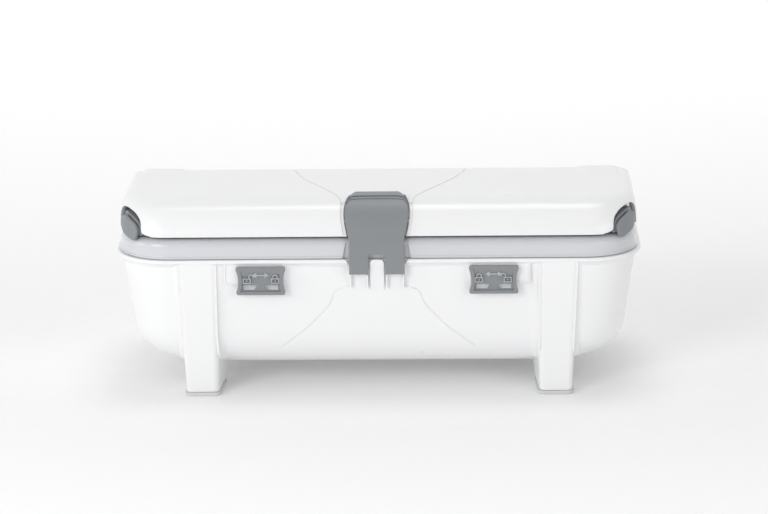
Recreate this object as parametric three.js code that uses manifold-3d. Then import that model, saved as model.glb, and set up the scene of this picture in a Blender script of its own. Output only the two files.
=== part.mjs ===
// A table-top cling film dispenser: a white tub on four legs, a grey lift-out deck that carries
// the film roll, and a hinged lid with a press bar, a cutting blade and a sprung latch.
// Millimetres, +Z up, front towards -Y, origin on the table under the middle of the base.
import * as THREE from 'three';
import { mergeVertices } from 'three/addons/utils/BufferGeometryUtils.js';
import Module from 'manifold-3d';

const wasm = await Module();
wasm.setup();

// ---- driving dimensions ----
const halfWidth = 203;        // centre to the outside of the base rim
const halfDepth = 88;
const rimTop = 111;           // above the table
const rimCorner = 43;         // plan radius of the rim
const rimLip = 3.5;           // the rim stands this far out from the wall
const rimThickness = 3;
const wall = 2.6;             // moulded walls
const gap = 0.3;              // between parts that touch
const tubTurn = 57;           // height where the straight wall turns under
const tubBottom = 19.5;
const deckTop = 126.4;        // the film bridge
const lidEdge = 128.6;        // lower edge of the closed lid
const lidTop = 152.8;
const roll = { y: 8, z: 72, radius: 38, halfLength: 150 };
const spindleRadius = 5.4;
const hinge = { y: 84.5, z: 124.5, radius: 6, x: 150 };
const latchPivot = { y: -78.7, z: 139 };
const legX = 137;
const clipX = 89;
const clawBottom = 95;        // the clip's claw lies over the foot of the deck's tongue
const clawTop = 98.4;
const pressSpringAt = { x: 162, y: -64, bottom: 136.2, top: 146.3 };

// ---- plain geometry helpers ----
function box(x0, x1, y0, y1, z0, z1) {
  const geometry = new THREE.BoxGeometry(x1 - x0, y1 - y0, z1 - z0);
  return geometry.translate((x0 + x1) / 2, (y0 + y1) / 2, (z0 + z1) / 2);
}

function cylinderX(radius, x0, x1, y, z, sides = 24) {
  const geometry = new THREE.CylinderGeometry(radius, radius, x1 - x0, sides);
  return geometry.rotateZ(Math.PI / 2).translate((x0 + x1) / 2, y, z);
}

function cylinderY(radius, y0, y1, x, z, sides = 24) {
  return new THREE.CylinderGeometry(radius, radius, y1 - y0, sides).translate(x, (y0 + y1) / 2, z);
}

function cylinderZ(radius, z0, z1, x, y, sides = 24) {
  const geometry = new THREE.CylinderGeometry(radius, radius, z1 - z0, sides);
  return geometry.rotateX(Math.PI / 2).translate(x, y, (z0 + z1) / 2);
}

// An outline in (Y, Z), extruded across the width.
function extrudeX(outline, x0, x1) {
  const shape = new THREE.Shape(outline.map(([y, z]) => new THREE.Vector2(y, z)));
  const geometry = new THREE.ExtrudeGeometry(shape, { depth: x1 - x0, bevelEnabled: false });
  const axes = new THREE.Matrix4().makeBasis(
    new THREE.Vector3(0, 1, 0), new THREE.Vector3(0, 0, 1), new THREE.Vector3(1, 0, 0));
  return geometry.applyMatrix4(axes).translate(x0, 0, 0);
}

// An outline in (X, Z), extruded from y0 back to y1.
function extrudeY(shape, y0, y1) {
  const geometry = new THREE.ExtrudeGeometry(shape, { depth: y1 - y0, bevelEnabled: false, curveSegments: 6 });
  return geometry.rotateX(Math.PI / 2).translate(0, y1, 0);
}

function roundedRectangle(x0, x1, z0, z1, radius) {
  const shape = new THREE.Shape();
  shape.moveTo(x0 + radius, z0);
  shape.lineTo(x1 - radius, z0);
  shape.absarc(x1 - radius, z0 + radius, radius, -Math.PI / 2, 0, false);
  shape.absarc(x1 - radius, z1 - radius, radius, 0, Math.PI / 2, false);
  shape.absarc(x0 + radius, z1 - radius, radius, Math.PI / 2, Math.PI, false);
  shape.absarc(x0 + radius, z0 + radius, radius, Math.PI, 1.5 * Math.PI, false);
  return shape;
}

// One level of a loft: a rectangle with round corners, at height z. With splay, its low-X side
// slants outwards by that much from front to back.
function ring({ z, x0, x1, y0, y1, radius, rearRadius = radius, splay = 0 }, steps) {
  const corners = [
    [x1, y0, radius, -Math.PI / 2],
    [x1, y1, rearRadius, 0],
    [x0, y1, rearRadius, Math.PI / 2],
    [x0, y0, radius, Math.PI],
  ];
  return corners.flatMap(([x, y, r, start]) => Array.from({ length: steps + 1 }, (_, i) => {
    const angle = start + (i / steps) * Math.PI / 2;
    const cx = x === x1 ? x1 - r : x0 + r;
    const cy = y === y1 ? y1 - r : y0 + r;
    const py = cy + r * Math.sin(angle);
    const slant = x === x0 ? splay * (py - y0) / (y1 - y0) : 0;
    return [cx + r * Math.cos(angle) - slant, py, z];
  }));
}

// A closed body through levels given from the bottom up.
function loft(levels, steps = 8) {
  const rings = levels.map((level) => ring(level, steps));
  const count = rings[0].length;
  const positions = rings.flat(2);
  const index = [];
  for (let level = 0; level < rings.length - 1; level += 1) {
    for (let i = 0; i < count; i += 1) {
      const a = level * count + i;
      const b = level * count + ((i + 1) % count);
      index.push(a, b, b + count, a, b + count, a + count);
    }
  }
  const last = (rings.length - 1) * count;
  for (let i = 1; i < count - 1; i += 1) {
    index.push(0, i + 1, i);
    index.push(last, last + i, last + i + 1);
  }
  const geometry = new THREE.BufferGeometry();
  geometry.setAttribute('position', new THREE.Float32BufferAttribute(positions, 3));
  geometry.setIndex(index);
  return geometry;
}

// Symmetrical loft levels written as [z, half width, front y, rear y, corner radius, rear radius].
function levels(rows, inset = 0) {
  return rows.map(([z, x, front, rear, radius, rearRadius = radius]) => ({
    z, x0: inset - x, x1: x - inset, y0: front + inset, y1: rear - inset,
    radius: radius - inset, rearRadius: rearRadius - inset,
  }));
}

// ---- solids for cutting and joining ----
function solid(geometry) {
  const bare = geometry.clone();
  bare.deleteAttribute('normal');
  bare.deleteAttribute('uv');
  const merged = mergeVertices(bare, 1e-4);
  const mesh = new wasm.Mesh({
    numProp: 3,
    vertProperties: new Float32Array(merged.attributes.position.array),
    triVerts: new Uint32Array(merged.index.array),
  });
  return new wasm.Manifold(mesh);
}

const add = (...parts) => parts.reduce((sum, part) => sum.add(part));
const cut = (body, ...tools) => tools.reduce((rest, tool) => rest.subtract(tool), body);
const solidBox = (...sides) => solid(box(...sides));
const mirrored = (body) => body.mirror([1, 0, 0]);
const bothSides = (body) => body.add(mirrored(body));

function geometryOf(body) {
  const mesh = body.getMesh();
  const geometry = new THREE.BufferGeometry();
  geometry.setAttribute('position', new THREE.Float32BufferAttribute(mesh.vertProperties, 3));
  geometry.setIndex(Array.from(mesh.triVerts));
  const flat = geometry.toNonIndexed();
  flat.computeVertexNormals();
  return flat;
}

// ---- materials ----
const plastic = (color, roughness) => new THREE.MeshStandardMaterial({ color, roughness, metalness: 0 });
const metal = (color, roughness) => new THREE.MeshStandardMaterial({ color, roughness, metalness: 1 });
const white = plastic(0xf2f3f4, 0.28);
const paleGrey = plastic(0xcfd2d6, 0.32);
const midGrey = plastic(0x8b9093, 0.4);
const rubber = plastic(0x6e7276, 0.8);
const steel = metal(0xc4c7ca, 0.3);
const card = plastic(0xb48a5c, 0.9);
const film = plastic(0xdfe8ec, 0.15);

const assembly = new THREE.Group();

function piece(name, body, material) {
  const mesh = new THREE.Mesh(body.isBufferGeometry ? body : geometryOf(body), material);
  mesh.name = name;
  assembly.add(mesh);
}

// ---- tub ----
const tubArc = 6;

function tubShape(inset, top) {
  const turnX = halfWidth - rimLip - 8;
  const turnY = halfDepth - rimLip - 4.5;
  const endRound = 38;
  const sideRound = 34;
  const turnCorner = 36;
  const rows = [];
  for (let i = tubArc; i > 0; i -= 1) {
    const angle = (i / tubArc) * Math.PI / 2;
    const x = turnX - inset - (endRound - inset) * (1 - Math.cos(angle));
    const y = turnY - inset - (sideRound - inset) * (1 - Math.cos(angle));
    rows.push([tubTurn - (tubTurn - tubBottom - inset) * Math.sin(angle), x, -y, y, turnCorner - inset]);
  }
  rows.push([tubTurn, turnX - inset, inset - turnY, turnY - inset, turnCorner - inset]);
  const rimX = halfWidth - rimLip - inset;
  const rimY = halfDepth - rimLip - inset;
  rows.push([rimTop, rimX, -rimY, rimY, rimCorner - rimLip - inset]);
  if (top > rimTop) rows.push([top, rimX, -rimY, rimY, rimCorner - rimLip - inset]);
  return solid(loft(levels(rows)));
}

const padHeight = 3;

// The inner side of each leg slants outwards towards the back, most of all where it meets the tub.
const legLevels = [
  { z: 3.3, out: 12.4, inner: 12.6, front: -80.4, back: -43, splay: 3 },
  { z: 18, out: 12.9, inner: 12.8, front: -81.6, back: -41, splay: 5 },
  { z: 34, out: 13.6, inner: 13, front: -82.7, back: -38, splay: 7.5 },
  { z: 60, out: 14.8, inner: 13.2, front: -84.4, back: -38, splay: 5 },
  { z: 108.5, out: 16.6, inner: 13.8, front: -87, back: -60, splay: 2 },
];

function legShape(inset, bottom, top) {
  const rows = legLevels.map((row, i) => ({
    z: i === 0 ? bottom : Math.min(row.z, top),
    x0: legX - row.inner + inset,
    x1: legX + row.out - inset,
    y0: row.front + inset,
    y1: row.back - inset,
    radius: 3.4 - inset / 2,
    splay: row.splay,
  })).filter((row, i, all) => i === 0 || row.z > all[i - 1].z);
  return solid(loft(rows, 3));
}

const fourWays = (body) => {
  const front = bothSides(body);
  return front.add(front.mirror([0, 1, 0]));
};

const outerTub = tubShape(0, rimTop);
const tubCavity = tubShape(wall, rimTop + 2);
const latchTab = { inner: 6.4, outer: 21.2 };

function hingeLug() {
  const outline = [];
  for (let i = 0; i <= 8; i += 1) {
    const angle = (i / 8) * Math.PI;
    outline.push([hinge.y + hinge.radius * Math.cos(angle), hinge.z + hinge.radius * Math.sin(angle)]);
  }
  outline.push([hinge.y - hinge.radius, rimTop - 2], [halfDepth - rimLip, rimTop - 10], [halfDepth, rimTop - 2]);
  const lug = (x0, x1) => solid(extrudeX(outline, x0, x1));
  const pair = add(lug(hinge.x - 14, hinge.x - 7.4), lug(hinge.x + 7.4, hinge.x + 14));
  return cut(pair, solid(cylinderX(2.1, hinge.x - 20, hinge.x + 20, hinge.y, hinge.z)));
}

function baseTub() {
  const rimRow = (z) => [z, halfWidth, -halfDepth, halfDepth, rimCorner];
  const rim = solid(loft(levels([
    [rimTop - rimThickness - 0.8, halfWidth - 0.9, 0.9 - halfDepth, halfDepth - 0.9, rimCorner - 0.9],
    rimRow(rimTop - rimThickness + 0.2), rimRow(rimTop - 0.8),
    [rimTop, halfWidth - 0.7, 0.7 - halfDepth, halfDepth - 0.7, rimCorner - 0.7],
  ])));
  const legs = fourWays(legShape(0, padHeight + gap, 200));
  const legHollows = cut(fourWays(legShape(2.6, -1, 62)), outerTub);
  const clipSeat = bothSides(solidBox(clipX - 21, clipX + 28, -86.6, -80, 82, 107.4));
  const catchBars = bothSides(solidBox(latchTab.inner + 0.8, latchTab.outer - 0.8, -87.4, -82, 104.4, 107.2));
  const boss = solid(extrudeY(roundedRectangle(-5.4, 5.4, 88, rimTop, 2), -88, -82));
  const ribX = [-latchTab.outer + 1, -latchTab.inner - 1, latchTab.inner + 1, latchTab.outer - 1];
  const ribs = add(...ribX.map((x) => solidBox(x - 0.6, x + 0.6, -86.4, -80, 88, 98.5)));
  const shell = add(outerTub, rim, legs, clipSeat, ribs, bothSides(hingeLug()));
  const latchNotch = bothSides(
    solid(extrudeY(roundedRectangle(latchTab.inner - 1.2, latchTab.outer + 1.2, 99.6, rimTop + 6, 2), -95, -85.2)));
  const notched = add(cut(shell, latchNotch), catchBars, boss);
  const clipSlots = bothSides(solidBox(clipX - 15.4, clipX + 4.6, -95, -70, clawBottom - 0.6, clawTop + 0.6));
  const clipPocket = bothSides(solidBox(clipX - 19.6, clipX + 27.4, -95, -86.2, 83.4, 106.8));
  return cut(notched, tubCavity, legHollows, clipSlots, clipPocket);
}

piece('base_tub', baseTub(), white);

function footPad(side, end) {
  const plate = solid(loft([
    { z: 0, x0: legX - 13, x1: legX + 13, y0: -81, y1: -42.4, radius: 3.6, splay: 3 },
    { z: padHeight, x0: legX - 13.4, x1: legX + 13.4, y0: -81.4, y1: -42, radius: 4, splay: 3 },
  ], 4));
  const plug = solidBox(legX - 9.4, legX + 9.4, -77, -46.4, padHeight - 0.5, 13);
  const plugHollow = solidBox(legX - 7.4, legX + 7.4, -75, -48.4, 5, 14);
  const pad = cut(add(plate, plug), plugHollow);
  const placed = side < 0 ? mirrored(pad) : pad;
  return end < 0 ? placed : placed.mirror([0, 1, 0]);
}

for (const [endName, end] of [['front', -1], ['rear', 1]]) {
  for (const [sideName, side] of [['left', -1], ['right', 1]]) {
    piece(`foot_pad_${endName}_${sideName}`, footPad(side, end), rubber);
  }
}

// ---- deck: the lift-out frame round the roll ----
const deckCorner = 41;
const deckRows = [
  [rimTop + gap, 2.8, 1.8, 0],
  [120, 3.5, 2.5, 0.7],
  [123.4, 4.8, 3.8, 2],
  [125.4, 7, 6, 4],
  [deckTop, 10, 9, 7],
].map(([z, end, side, corner]) =>
  [z, halfWidth - end, side - halfDepth, halfDepth - side, deckCorner - corner]);
const cradle = { inner: 158.5, outer: 161.5, front: -34, rear: 50, bottom: 57 };
const bladeY = -71.9;
const grip = { y0: -64, y1: -58 };

function hingeRecess(margin, inward, bottom, top) {
  return solidBox(hinge.x - 18 - margin, hinge.x + 15.5 + margin, 77.6 - inward, 95, bottom, top);
}

function spindleSlot() {
  const half = spindleRadius + 0.3;
  const slot = solidBox(cradle.inner - 4, cradle.outer + 9, roll.y - half, roll.y + half, roll.z, deckTop + 5);
  return add(slot, solid(cylinderX(half, cradle.inner - 4, cradle.outer + 9, roll.y, roll.z, 32)));
}

function deckFrame() {
  const inner = deckRows.slice(0, 3).map(([z, x, front, rear, radius]) =>
    [z - 1, x - wall, front + wall, rear - wall, radius - wall]);
  const band = cut(solid(loft(levels(deckRows))), solid(loft(levels(inner))));
  const skirtRows = (inset, low, high) => solid(loft(levels([
    [low, 193.4, -80, 80, 35],
    [high, 194, -80.8, 80.8, 35.5],
  ], inset)));
  const skirt = cut(skirtRows(0, 99, 124), skirtRows(2, 98, 125));
  const shelfOpening = solid(loft(levels([
    [110, cradle.outer, -53, 62, 8],
    [140, cradle.outer, -53, 62, 8],
  ])));
  const cradleWall = solidBox(cradle.inner, cradle.outer + 0.4, cradle.front, cradle.rear, cradle.bottom, 124);
  const lip = solidBox(-cradle.outer, cradle.outer, -55.2, -52.8, 116, 124);
  const tongue = add(solidBox(64, 70, -79.2, -77, 90, 101), solidBox(64, 76, -79.2, -77, 90, clawBottom - 0.5));
  const recessWall = cut(hingeRecess(2, 2, rimTop + 0.5, 125.6), solidBox(-300, 300, 84, 100, 0, 200));
  const body = add(cut(band, shelfOpening), skirt, lip, bothSides(add(tongue, cradleWall, recessWall)));
  const gripGroove = solidBox(-152, 152, grip.y0 - gap, grip.y1 + gap, deckTop - 1.5, deckTop + 2);
  const bladeGroove = solidBox(-158, 158, bladeY - 1.6, bladeY + 1.6, deckTop - 1.3, deckTop + 2);
  const latchFlat = solidBox(-23.5, 23.5, -95, -84.4, 100, 140);
  return cut(body, gripGroove, bladeGroove, latchFlat,
    bothSides(add(hingeRecess(0, 0, rimTop - 2.4, 140), spindleSlot())));
}

piece('deck_frame', deckFrame(), paleGrey);
piece('film_grip_strip', box(-151.6, 151.6, grip.y0, grip.y1, deckTop - 1.2, deckTop + 0.4), rubber);

// ---- hinge pins ----
function hingePin() {
  const shank = cylinderX(1.8, hinge.x - 15.2, hinge.x + 14.6, hinge.y, hinge.z, 16);
  const head = cylinderX(3, hinge.x - 16.6, hinge.x - 14.4, hinge.y, hinge.z, 16);
  return add(solid(shank), solid(head));
}

piece('hinge_pin_left', mirrored(hingePin()), steel);
piece('hinge_pin_right', hingePin(), steel);

// ---- lock clips: they slide outwards in their seats to free the deck ----
function lockClip() {
  const shape = new THREE.Shape();
  const half = 19;
  const low = 84;
  const high = 106;
  shape.moveTo(-half + 1.6, low);
  shape.lineTo(half - 1.6, low);
  shape.quadraticCurveTo(half, low, half - 0.3, low + 2.5);
  shape.quadraticCurveTo(half - 3.6, (low + high) / 2, half, high - 2.5);
  shape.quadraticCurveTo(half, high, half - 1.6, high);
  shape.lineTo(-half + 1.6, high);
  shape.quadraticCurveTo(-half, high, -half, high - 2.5);
  shape.quadraticCurveTo(3.6 - half, (low + high) / 2, 0.3 - half, low + 2.5);
  shape.quadraticCurveTo(-half, low, -half + 1.6, low);
  const plate = solid(extrudeY(shape, -90, -86.8).translate(clipX, 0, 0));
  const hollow = solid(extrudeY(roundedRectangle(-14.6, 14.6, 87, 104.4, 1), -92, -88.8).translate(clipX, 0, 0));
  const shank = solidBox(clipX - 14.8, clipX - 4, -87.2, -78.1, clawBottom, clawTop);
  const claw = solidBox(clipX - 18.4, clipX - 4, -79.6, -78.1, clawBottom, clawTop);
  const window = solid(extrudeY(new THREE.Shape([
    new THREE.Vector2(-12, 88.2), new THREE.Vector2(-5, 88.2), new THREE.Vector2(-3, 91),
    new THREE.Vector2(3, 91), new THREE.Vector2(5, 88.2), new THREE.Vector2(12, 88.2),
    new THREE.Vector2(12, 92.4), new THREE.Vector2(-12, 92.4),
  ]), -92, -84).translate(clipX, 0, 0));
  return add(cut(plate, hollow, window), shank, claw);
}

piece('lock_clip_left', mirrored(lockClip()), midGrey);
piece('lock_clip_right', lockClip(), midGrey);

// ---- film roll ----
function ringSolid(outer, inner, x0, x1, sides) {
  const profile = [[inner, x0], [outer, x0], [outer, x1], [inner, x1], [inner, x0]];
  const geometry = new THREE.LatheGeometry(profile.map(([r, h]) => new THREE.Vector2(r, h)), sides);
  return geometry.rotateZ(-Math.PI / 2).translate(0, roll.y, roll.z);
}

const coreOuter = 20;
const coreBore = 17.5;

function rollPlug() {
  const profile = [
    [0, 138], [coreBore - 0.5, 138], [coreBore - 0.3, 150.9], [24, 150.9], [24, 153.6], [9, 155.4],
    [spindleRadius, 155.8], [spindleRadius, 165.4], [spindleRadius - 1, 166.4], [0, 166.4],
  ];
  const geometry = new THREE.LatheGeometry(profile.map(([r, h]) => new THREE.Vector2(r, h)), 32);
  return geometry.rotateZ(-Math.PI / 2).translate(0, roll.y, roll.z);
}

piece('film_roll', solid(ringSolid(roll.radius, coreOuter + gap, -roll.halfLength, roll.halfLength, 48)), film);
piece('core_tube', solid(ringSolid(coreOuter, coreBore, -150.6, 150.6, 32)), card);
piece('roll_plug_left', mirrored(solid(rollPlug())), midGrey);
piece('roll_plug_right', solid(rollPlug()), midGrey);

// ---- lid ----
const lidRows = [
  [lidEdge, 199.4, -85, 85, 38, 38],
  [132.6, 199.4, -84.2, 78, 38, 32],
  [137.4, 199.3, -82.1, 69, 37.5, 26],
  [142.8, 199, -78.8, 58.6, 36.5, 20],
  [147.4, 198.2, -74.4, 48.4, 35, 15],
  [150.4, 196.6, -69.2, 40.6, 33, 11],
  [152.2, 193.8, -62, 34.4, 29, 8],
  [lidTop, 189.6, -54, 29, 24, 5],
];
const recess = { half: 25.6, in: 1.6, down: 5.3, back: -49.5, floor: 1.4 };
const cornerCentre = new THREE.Vector3(halfWidth - 2.8 - deckCorner, 1.8 + deckCorner - halfDepth, 0);

// Shifts the lid outline in from its front and top, to make the layers round the latch.
function lidShape(inward, down) {
  return solid(loft(levels(lidRows))).translate([0, inward, -down]);
}

// An outline in (u, z) on the front right corner, extruded outwards along the 45 degree line.
// u runs from the end of the dispenser towards its front.
function extrudeCorner(points, near, far) {
  const shape = new THREE.Shape();
  shape.moveTo(...points[0]);
  shape.splineThru(points.slice(1).map(([u, z]) => new THREE.Vector2(u, z)));
  const geometry = new THREE.ExtrudeGeometry(shape, { depth: far - near, bevelEnabled: false, curveSegments: 3 });
  const axes = new THREE.Matrix4().makeBasis(
    new THREE.Vector3(-Math.SQRT1_2, -Math.SQRT1_2, 0), new THREE.Vector3(0, 0, 1),
    new THREE.Vector3(-Math.SQRT1_2, Math.SQRT1_2, 0));
  const out = new THREE.Vector3(Math.SQRT1_2, -Math.SQRT1_2, 0);
  geometry.applyMatrix4(axes);
  const start = cornerCentre.clone().addScaledVector(out, far);
  return geometry.translate(start.x, start.y, 0);
}

const notchOutline = [
  [17.5, 127], [17, 128.9], [13.6, 129.6], [10.2, 131], [8.8, 133.6], [7.6, 137.2], [4.8, 141], [-0.4, 144.2],
  [-6.4, 146], [-13, 146.8], [-19, 146], [-23, 142], [-24, 134], [-23.4, 127], [17.5, 127],
];
const paddleOutline = [
  [5.4, 127.2], [6.3, 131.4], [5.2, 135], [2.2, 137.8], [-3, 139.9], [-8, 141.6], [-12.2, 141.6], [-15.6, 139],
  [-16.4, 135.2], [-14.6, 131], [-10.6, 128.2], [-5, 126.5], [-0.5, 125.2], [2.4, 124.6], [4.4, 125.2], [5.4, 127.2],
];
const paddleBackOutline = [
  [7.4, 128], [7.4, 132.4], [6, 135.6], [3.2, 138.6], [-2, 141.2], [-9, 143], [-15.6, 143.4], [-20.4, 141.4],
  [-22, 137], [-22, 130], [-21, 128], [7.4, 128],
];

function lidShell() {
  const innerRows = lidRows.map(([z, x, front, rear, radius, rearRadius]) =>
    [z - wall, x - wall, front + wall, rear - wall, radius - wall, rearRadius - wall]);
  const cavity = solid(loft(levels([[lidEdge - 5, ...innerRows[0].slice(1)], ...innerRows])));
  const outer = lidShape(0, 0);
  const shell = cut(outer, cavity);
  const around = solidBox(-recess.half - 2.4, recess.half + 2.4, -100, recess.back + 2.4, 100, 200);
  const inside = solidBox(-recess.half, recess.half, -100, recess.back, 100, 200);
  const floor = cut(outer.intersect(around), lidShape(recess.in + 1, recess.down + recess.floor));
  const hollow = cut(inside, lidShape(recess.in, recess.down));
  const notch = bothSides(solid(extrudeCorner(notchOutline, 24, 60)));
  const padRows = levels([[150.4, 16.5, -9, 9, 3], [153.2, 16.5, -9, 9, 3], [153.9, 15.8, -8.3, 8.3, 2.4]]);
  const pads = bothSides(solid(loft(padRows, 4)).translate([172, 26, 0]));
  const knuckleArm = solidBox(hinge.x - 6.8, hinge.x + 6.8, 78.6, hinge.y + 2, hinge.z, 136);
  const knuckle = add(solid(cylinderX(hinge.radius, hinge.x - 6.8, hinge.x + 6.8, hinge.y, hinge.z)), knuckleArm);
  const underLid = 150.8;
  const springBoss = bothSides(
    solid(cylinderZ(4, pressSpringAt.top + gap, underLid, pressSpringAt.x, pressSpringAt.y, 16)));
  const railUnderLatch = solidBox(-recess.half - 2, recess.half + 2, -66, -58, 146, 160);
  const carrierRail = cut(solidBox(-153, 153, -63.9, -60.7, 140.7, underLid), railUnderLatch);
  const pinBore = solid(cylinderX(1.15, -recess.half - 1.8, recess.half + 1.8, latchPivot.y, latchPivot.z, 12));
  const hingeBore = bothSides(solid(cylinderX(2.1, hinge.x - 9, hinge.x + 9, hinge.y, hinge.z)));
  const bandClear = solidBox(-300, 300, -200, 200, 60, lidEdge);
  const lugClear = bothSides(solidBox(hinge.x - 15, hinge.x + 15, 77.6, 100, 100, 131.2));
  const trimmed = cut(add(shell, floor), hollow, bandClear, lugClear, notch);
  return cut(add(trimmed, pads, bothSides(knuckle), springBoss, carrierRail), pinBore, hingeBore);
}

piece('lid_shell', lidShell(), white);

// ---- cutting blade on its carrier ----
const bladeScrewX = [-120, -40, 40, 120];
const blade = { half: 152, top: 138.6, tip: 127.2, root: 129.6, pitch: 8, thickness: 0.9 };
const screwZ = 135.2;

function bladeCarrier() {
  const front = bladeY + 0.6;
  const outline = [
    [front, 131.4], [-67, 131.4], [-67, 137.4], [-60, 137.4], [-60, 140.4], [-68.6, 140.4], [front, 138.4],
  ];
  const body = solid(extrudeX(outline, -blade.half, blade.half));
  return cut(body, ...bladeScrewX.map((x) => solid(cylinderY(1.7, -90, -50, x, screwZ, 12))));
}

function cuttingBlade() {
  const outline = [[-blade.half, blade.top], [-blade.half, blade.root]];
  for (let x = -blade.half; x < blade.half - 0.1; x += blade.pitch) {
    outline.push([x + blade.pitch / 2, blade.tip], [x + blade.pitch, blade.root]);
  }
  outline.push([blade.half, blade.top]);
  const shape = new THREE.Shape(outline.map(([x, z]) => new THREE.Vector2(x, z)));
  for (const x of bladeScrewX) {
    shape.holes.push(new THREE.Path().absarc(x, screwZ, 1.8, 0, Math.PI * 2, true));
  }
  return solid(extrudeY(shape, bladeY - blade.thickness / 2, bladeY + blade.thickness / 2));
}

function bladeScrew(x) {
  const head = solid(cylinderY(2.6, bladeY - 2.1, bladeY - 0.75, x, screwZ, 16));
  const slot = solidBox(x - 0.4, x + 0.4, bladeY - 3, bladeY - 1.6, screwZ - 4, screwZ + 4);
  return cut(add(head, solid(cylinderY(1.4, bladeY - 1, -66, x, screwZ, 12))), slot);
}

piece('blade_carrier', bladeCarrier(), midGrey);
piece('cutting_blade', cuttingBlade(), steel);
bladeScrewX.forEach((x, i) => piece(`blade_screw_${i + 1}`, bladeScrew(x), steel));

// ---- press bar: a sprung rail that clamps the film, with a paddle at each front corner ----
const bar = { front: -80.8, middle: -77.9, back: -74.2, bottom: 127.6, top: 133.6 };

function pressBar() {
  const side = solid(extrudeX([
    [bar.back, bar.bottom], [bar.back, bar.top], [bar.middle, bar.top],
    [bar.front, bar.bottom + 0.8], [bar.front, bar.bottom],
  ], 28.6, 160));
  const middle = solidBox(-30, 30, bar.middle, bar.back, bar.bottom, bar.top - 3);
  const endBlock = solidBox(155.5, 168, -75, -58, 128.2, 135.8);
  const neck = add(
    solid(extrudeCorner([[12, 129.5], [12, 133.8], [-8, 137], [-8, 131], [12, 129.5]], 15, 31)),
    solid(extrudeCorner([[5, 129.5], [5, 134], [-8, 137], [-8, 131], [5, 129.5]], 30, 40.4)));
  const skin = (inset) => solid(loft(levels([
    [120, 202, -88, 88, 42],
    [148, 199, -84.8, 84.8, 39],
  ], inset)));
  const paddle = solid(extrudeCorner(paddleOutline, 20, 60)).intersect(cut(skin(0), skin(2.6)));
  const paddleBack = solid(extrudeCorner(paddleBackOutline, 26, 60)).intersect(skin(4));
  return add(middle, bothSides(add(side, endBlock, neck, paddle, paddleBack)));
}

function pressSpring() {
  const { x, y, bottom, top } = pressSpringAt;
  const profile = [[1.4, bottom], [2.6, bottom], [2.6, top], [1.4, top]];
  const points = [...profile, profile[0]].map(([r, h]) => new THREE.Vector2(r, h));
  const geometry = new THREE.LatheGeometry(points, 16).rotateX(Math.PI / 2);
  return geometry.translate(x, y, 0);
}

piece('press_bar', pressBar(), midGrey);
piece('press_pad', box(-150, 150, bar.middle + 0.5, bar.back - 0.5, deckTop + gap, bar.bottom - gap), rubber);
piece('press_spring_left', mirrored(solid(pressSpring())), steel);
piece('press_spring_right', solid(pressSpring()), steel);

// ---- latch ----
const latchElevation = 17 * Math.PI / 180;

// The latch plate runs up the front of the lid and over its shoulder.
function latchPlate() {
  const outline = [
    [-90.5, 99.8], [-90.5, 117], [-89, 128], [-86.6, 134.6], [-82.6, 141.6], [-78, 147.4],
    [-72, 152.1], [-64, 155.2], [-54.6, 156.4], [-54.2, 154.2], [-63.4, 152.9], [-70.8, 150.1],
    [-76.2, 145.6], [-80.5, 140.2], [-84.2, 133.6], [-86.4, 127.4], [-87.9, 117], [-87.9, 103.6],
    [-87.6, 102], [-87.6, 99.8],
  ];
  return solid(extrudeX(outline, -26, 26));
}

// Its outline as seen square on, from a little above the front.
function latchOutline() {
  const neck = 21.2;
  const head = 24.3;
  const top = 62.2;
  const shape = new THREE.Shape();
  shape.moveTo(-neck, -60);
  shape.lineTo(-latchTab.inner, -60);
  shape.lineTo(-latchTab.inner, 11);
  shape.quadraticCurveTo(-latchTab.inner, 12.8, -latchTab.inner + 2, 12.8);
  shape.lineTo(latchTab.inner - 2, 12.8);
  shape.quadraticCurveTo(latchTab.inner, 12.8, latchTab.inner, 11);
  shape.lineTo(latchTab.inner, -60);
  shape.lineTo(neck, -60);
  shape.lineTo(neck, 25);
  shape.bezierCurveTo(neck + 1.4, 31, head, 38, head, 45);
  shape.bezierCurveTo(head, 53.5, head - 3.7, top, head - 10.8, top);
  shape.lineTo(10.8 - head, top);
  shape.bezierCurveTo(3.7 - head, top, -head, 53.5, -head, 45);
  shape.bezierCurveTo(-head, 38, -neck - 1.4, 31, -neck, 25);
  shape.lineTo(-neck, -60);
  const geometry = new THREE.ExtrudeGeometry(shape, { depth: 200, bevelEnabled: false, curveSegments: 6 });
  geometry.translate(0, 0, -100).rotateX(Math.PI / 2 - latchElevation);
  return solid(geometry.translate(0, 0, 75));
}

function latchLever() {
  const plate = latchPlate().intersect(latchOutline());
  const knuckle = solid(cylinderX(2, 9, 19, latchPivot.y, latchPivot.z, 16));
  const web = solidBox(9, 19, latchPivot.y - 4, latchPivot.y, latchPivot.z - 0.6, latchPivot.z + 1.9);
  return cut(add(plate, bothSides(add(knuckle, web))), solid(cylinderX(1.1, -24, 24, latchPivot.y, latchPivot.z, 16)));
}

function latchSpring() {
  const profile = [[1.3, -7], [1.9, -7], [1.9, 7], [1.3, 7], [1.3, -7]];
  const geometry = new THREE.LatheGeometry(profile.map(([r, h]) => new THREE.Vector2(r, h)), 16);
  return geometry.rotateZ(-Math.PI / 2).translate(0, latchPivot.y, latchPivot.z);
}

piece('latch_lever', latchLever(), midGrey);
piece('latch_pivot_pin', cylinderX(0.9, -recess.half - 1.5, recess.half + 1.5, latchPivot.y, latchPivot.z, 12), steel);
piece('latch_spring', latchSpring(), steel);

export default assembly;
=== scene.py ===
# A table-top cling film dispenser: white tub and lid, grey deck, latch, lock clips and press bar.
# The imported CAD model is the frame; the detailed meshes here stand for its nodes.
# Geometry is worked out in millimetres, +Z up, front towards -Y, and scaled to metres at the end.
import math

import bpy
import numpy as np
from mathutils import Matrix, Vector


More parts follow.
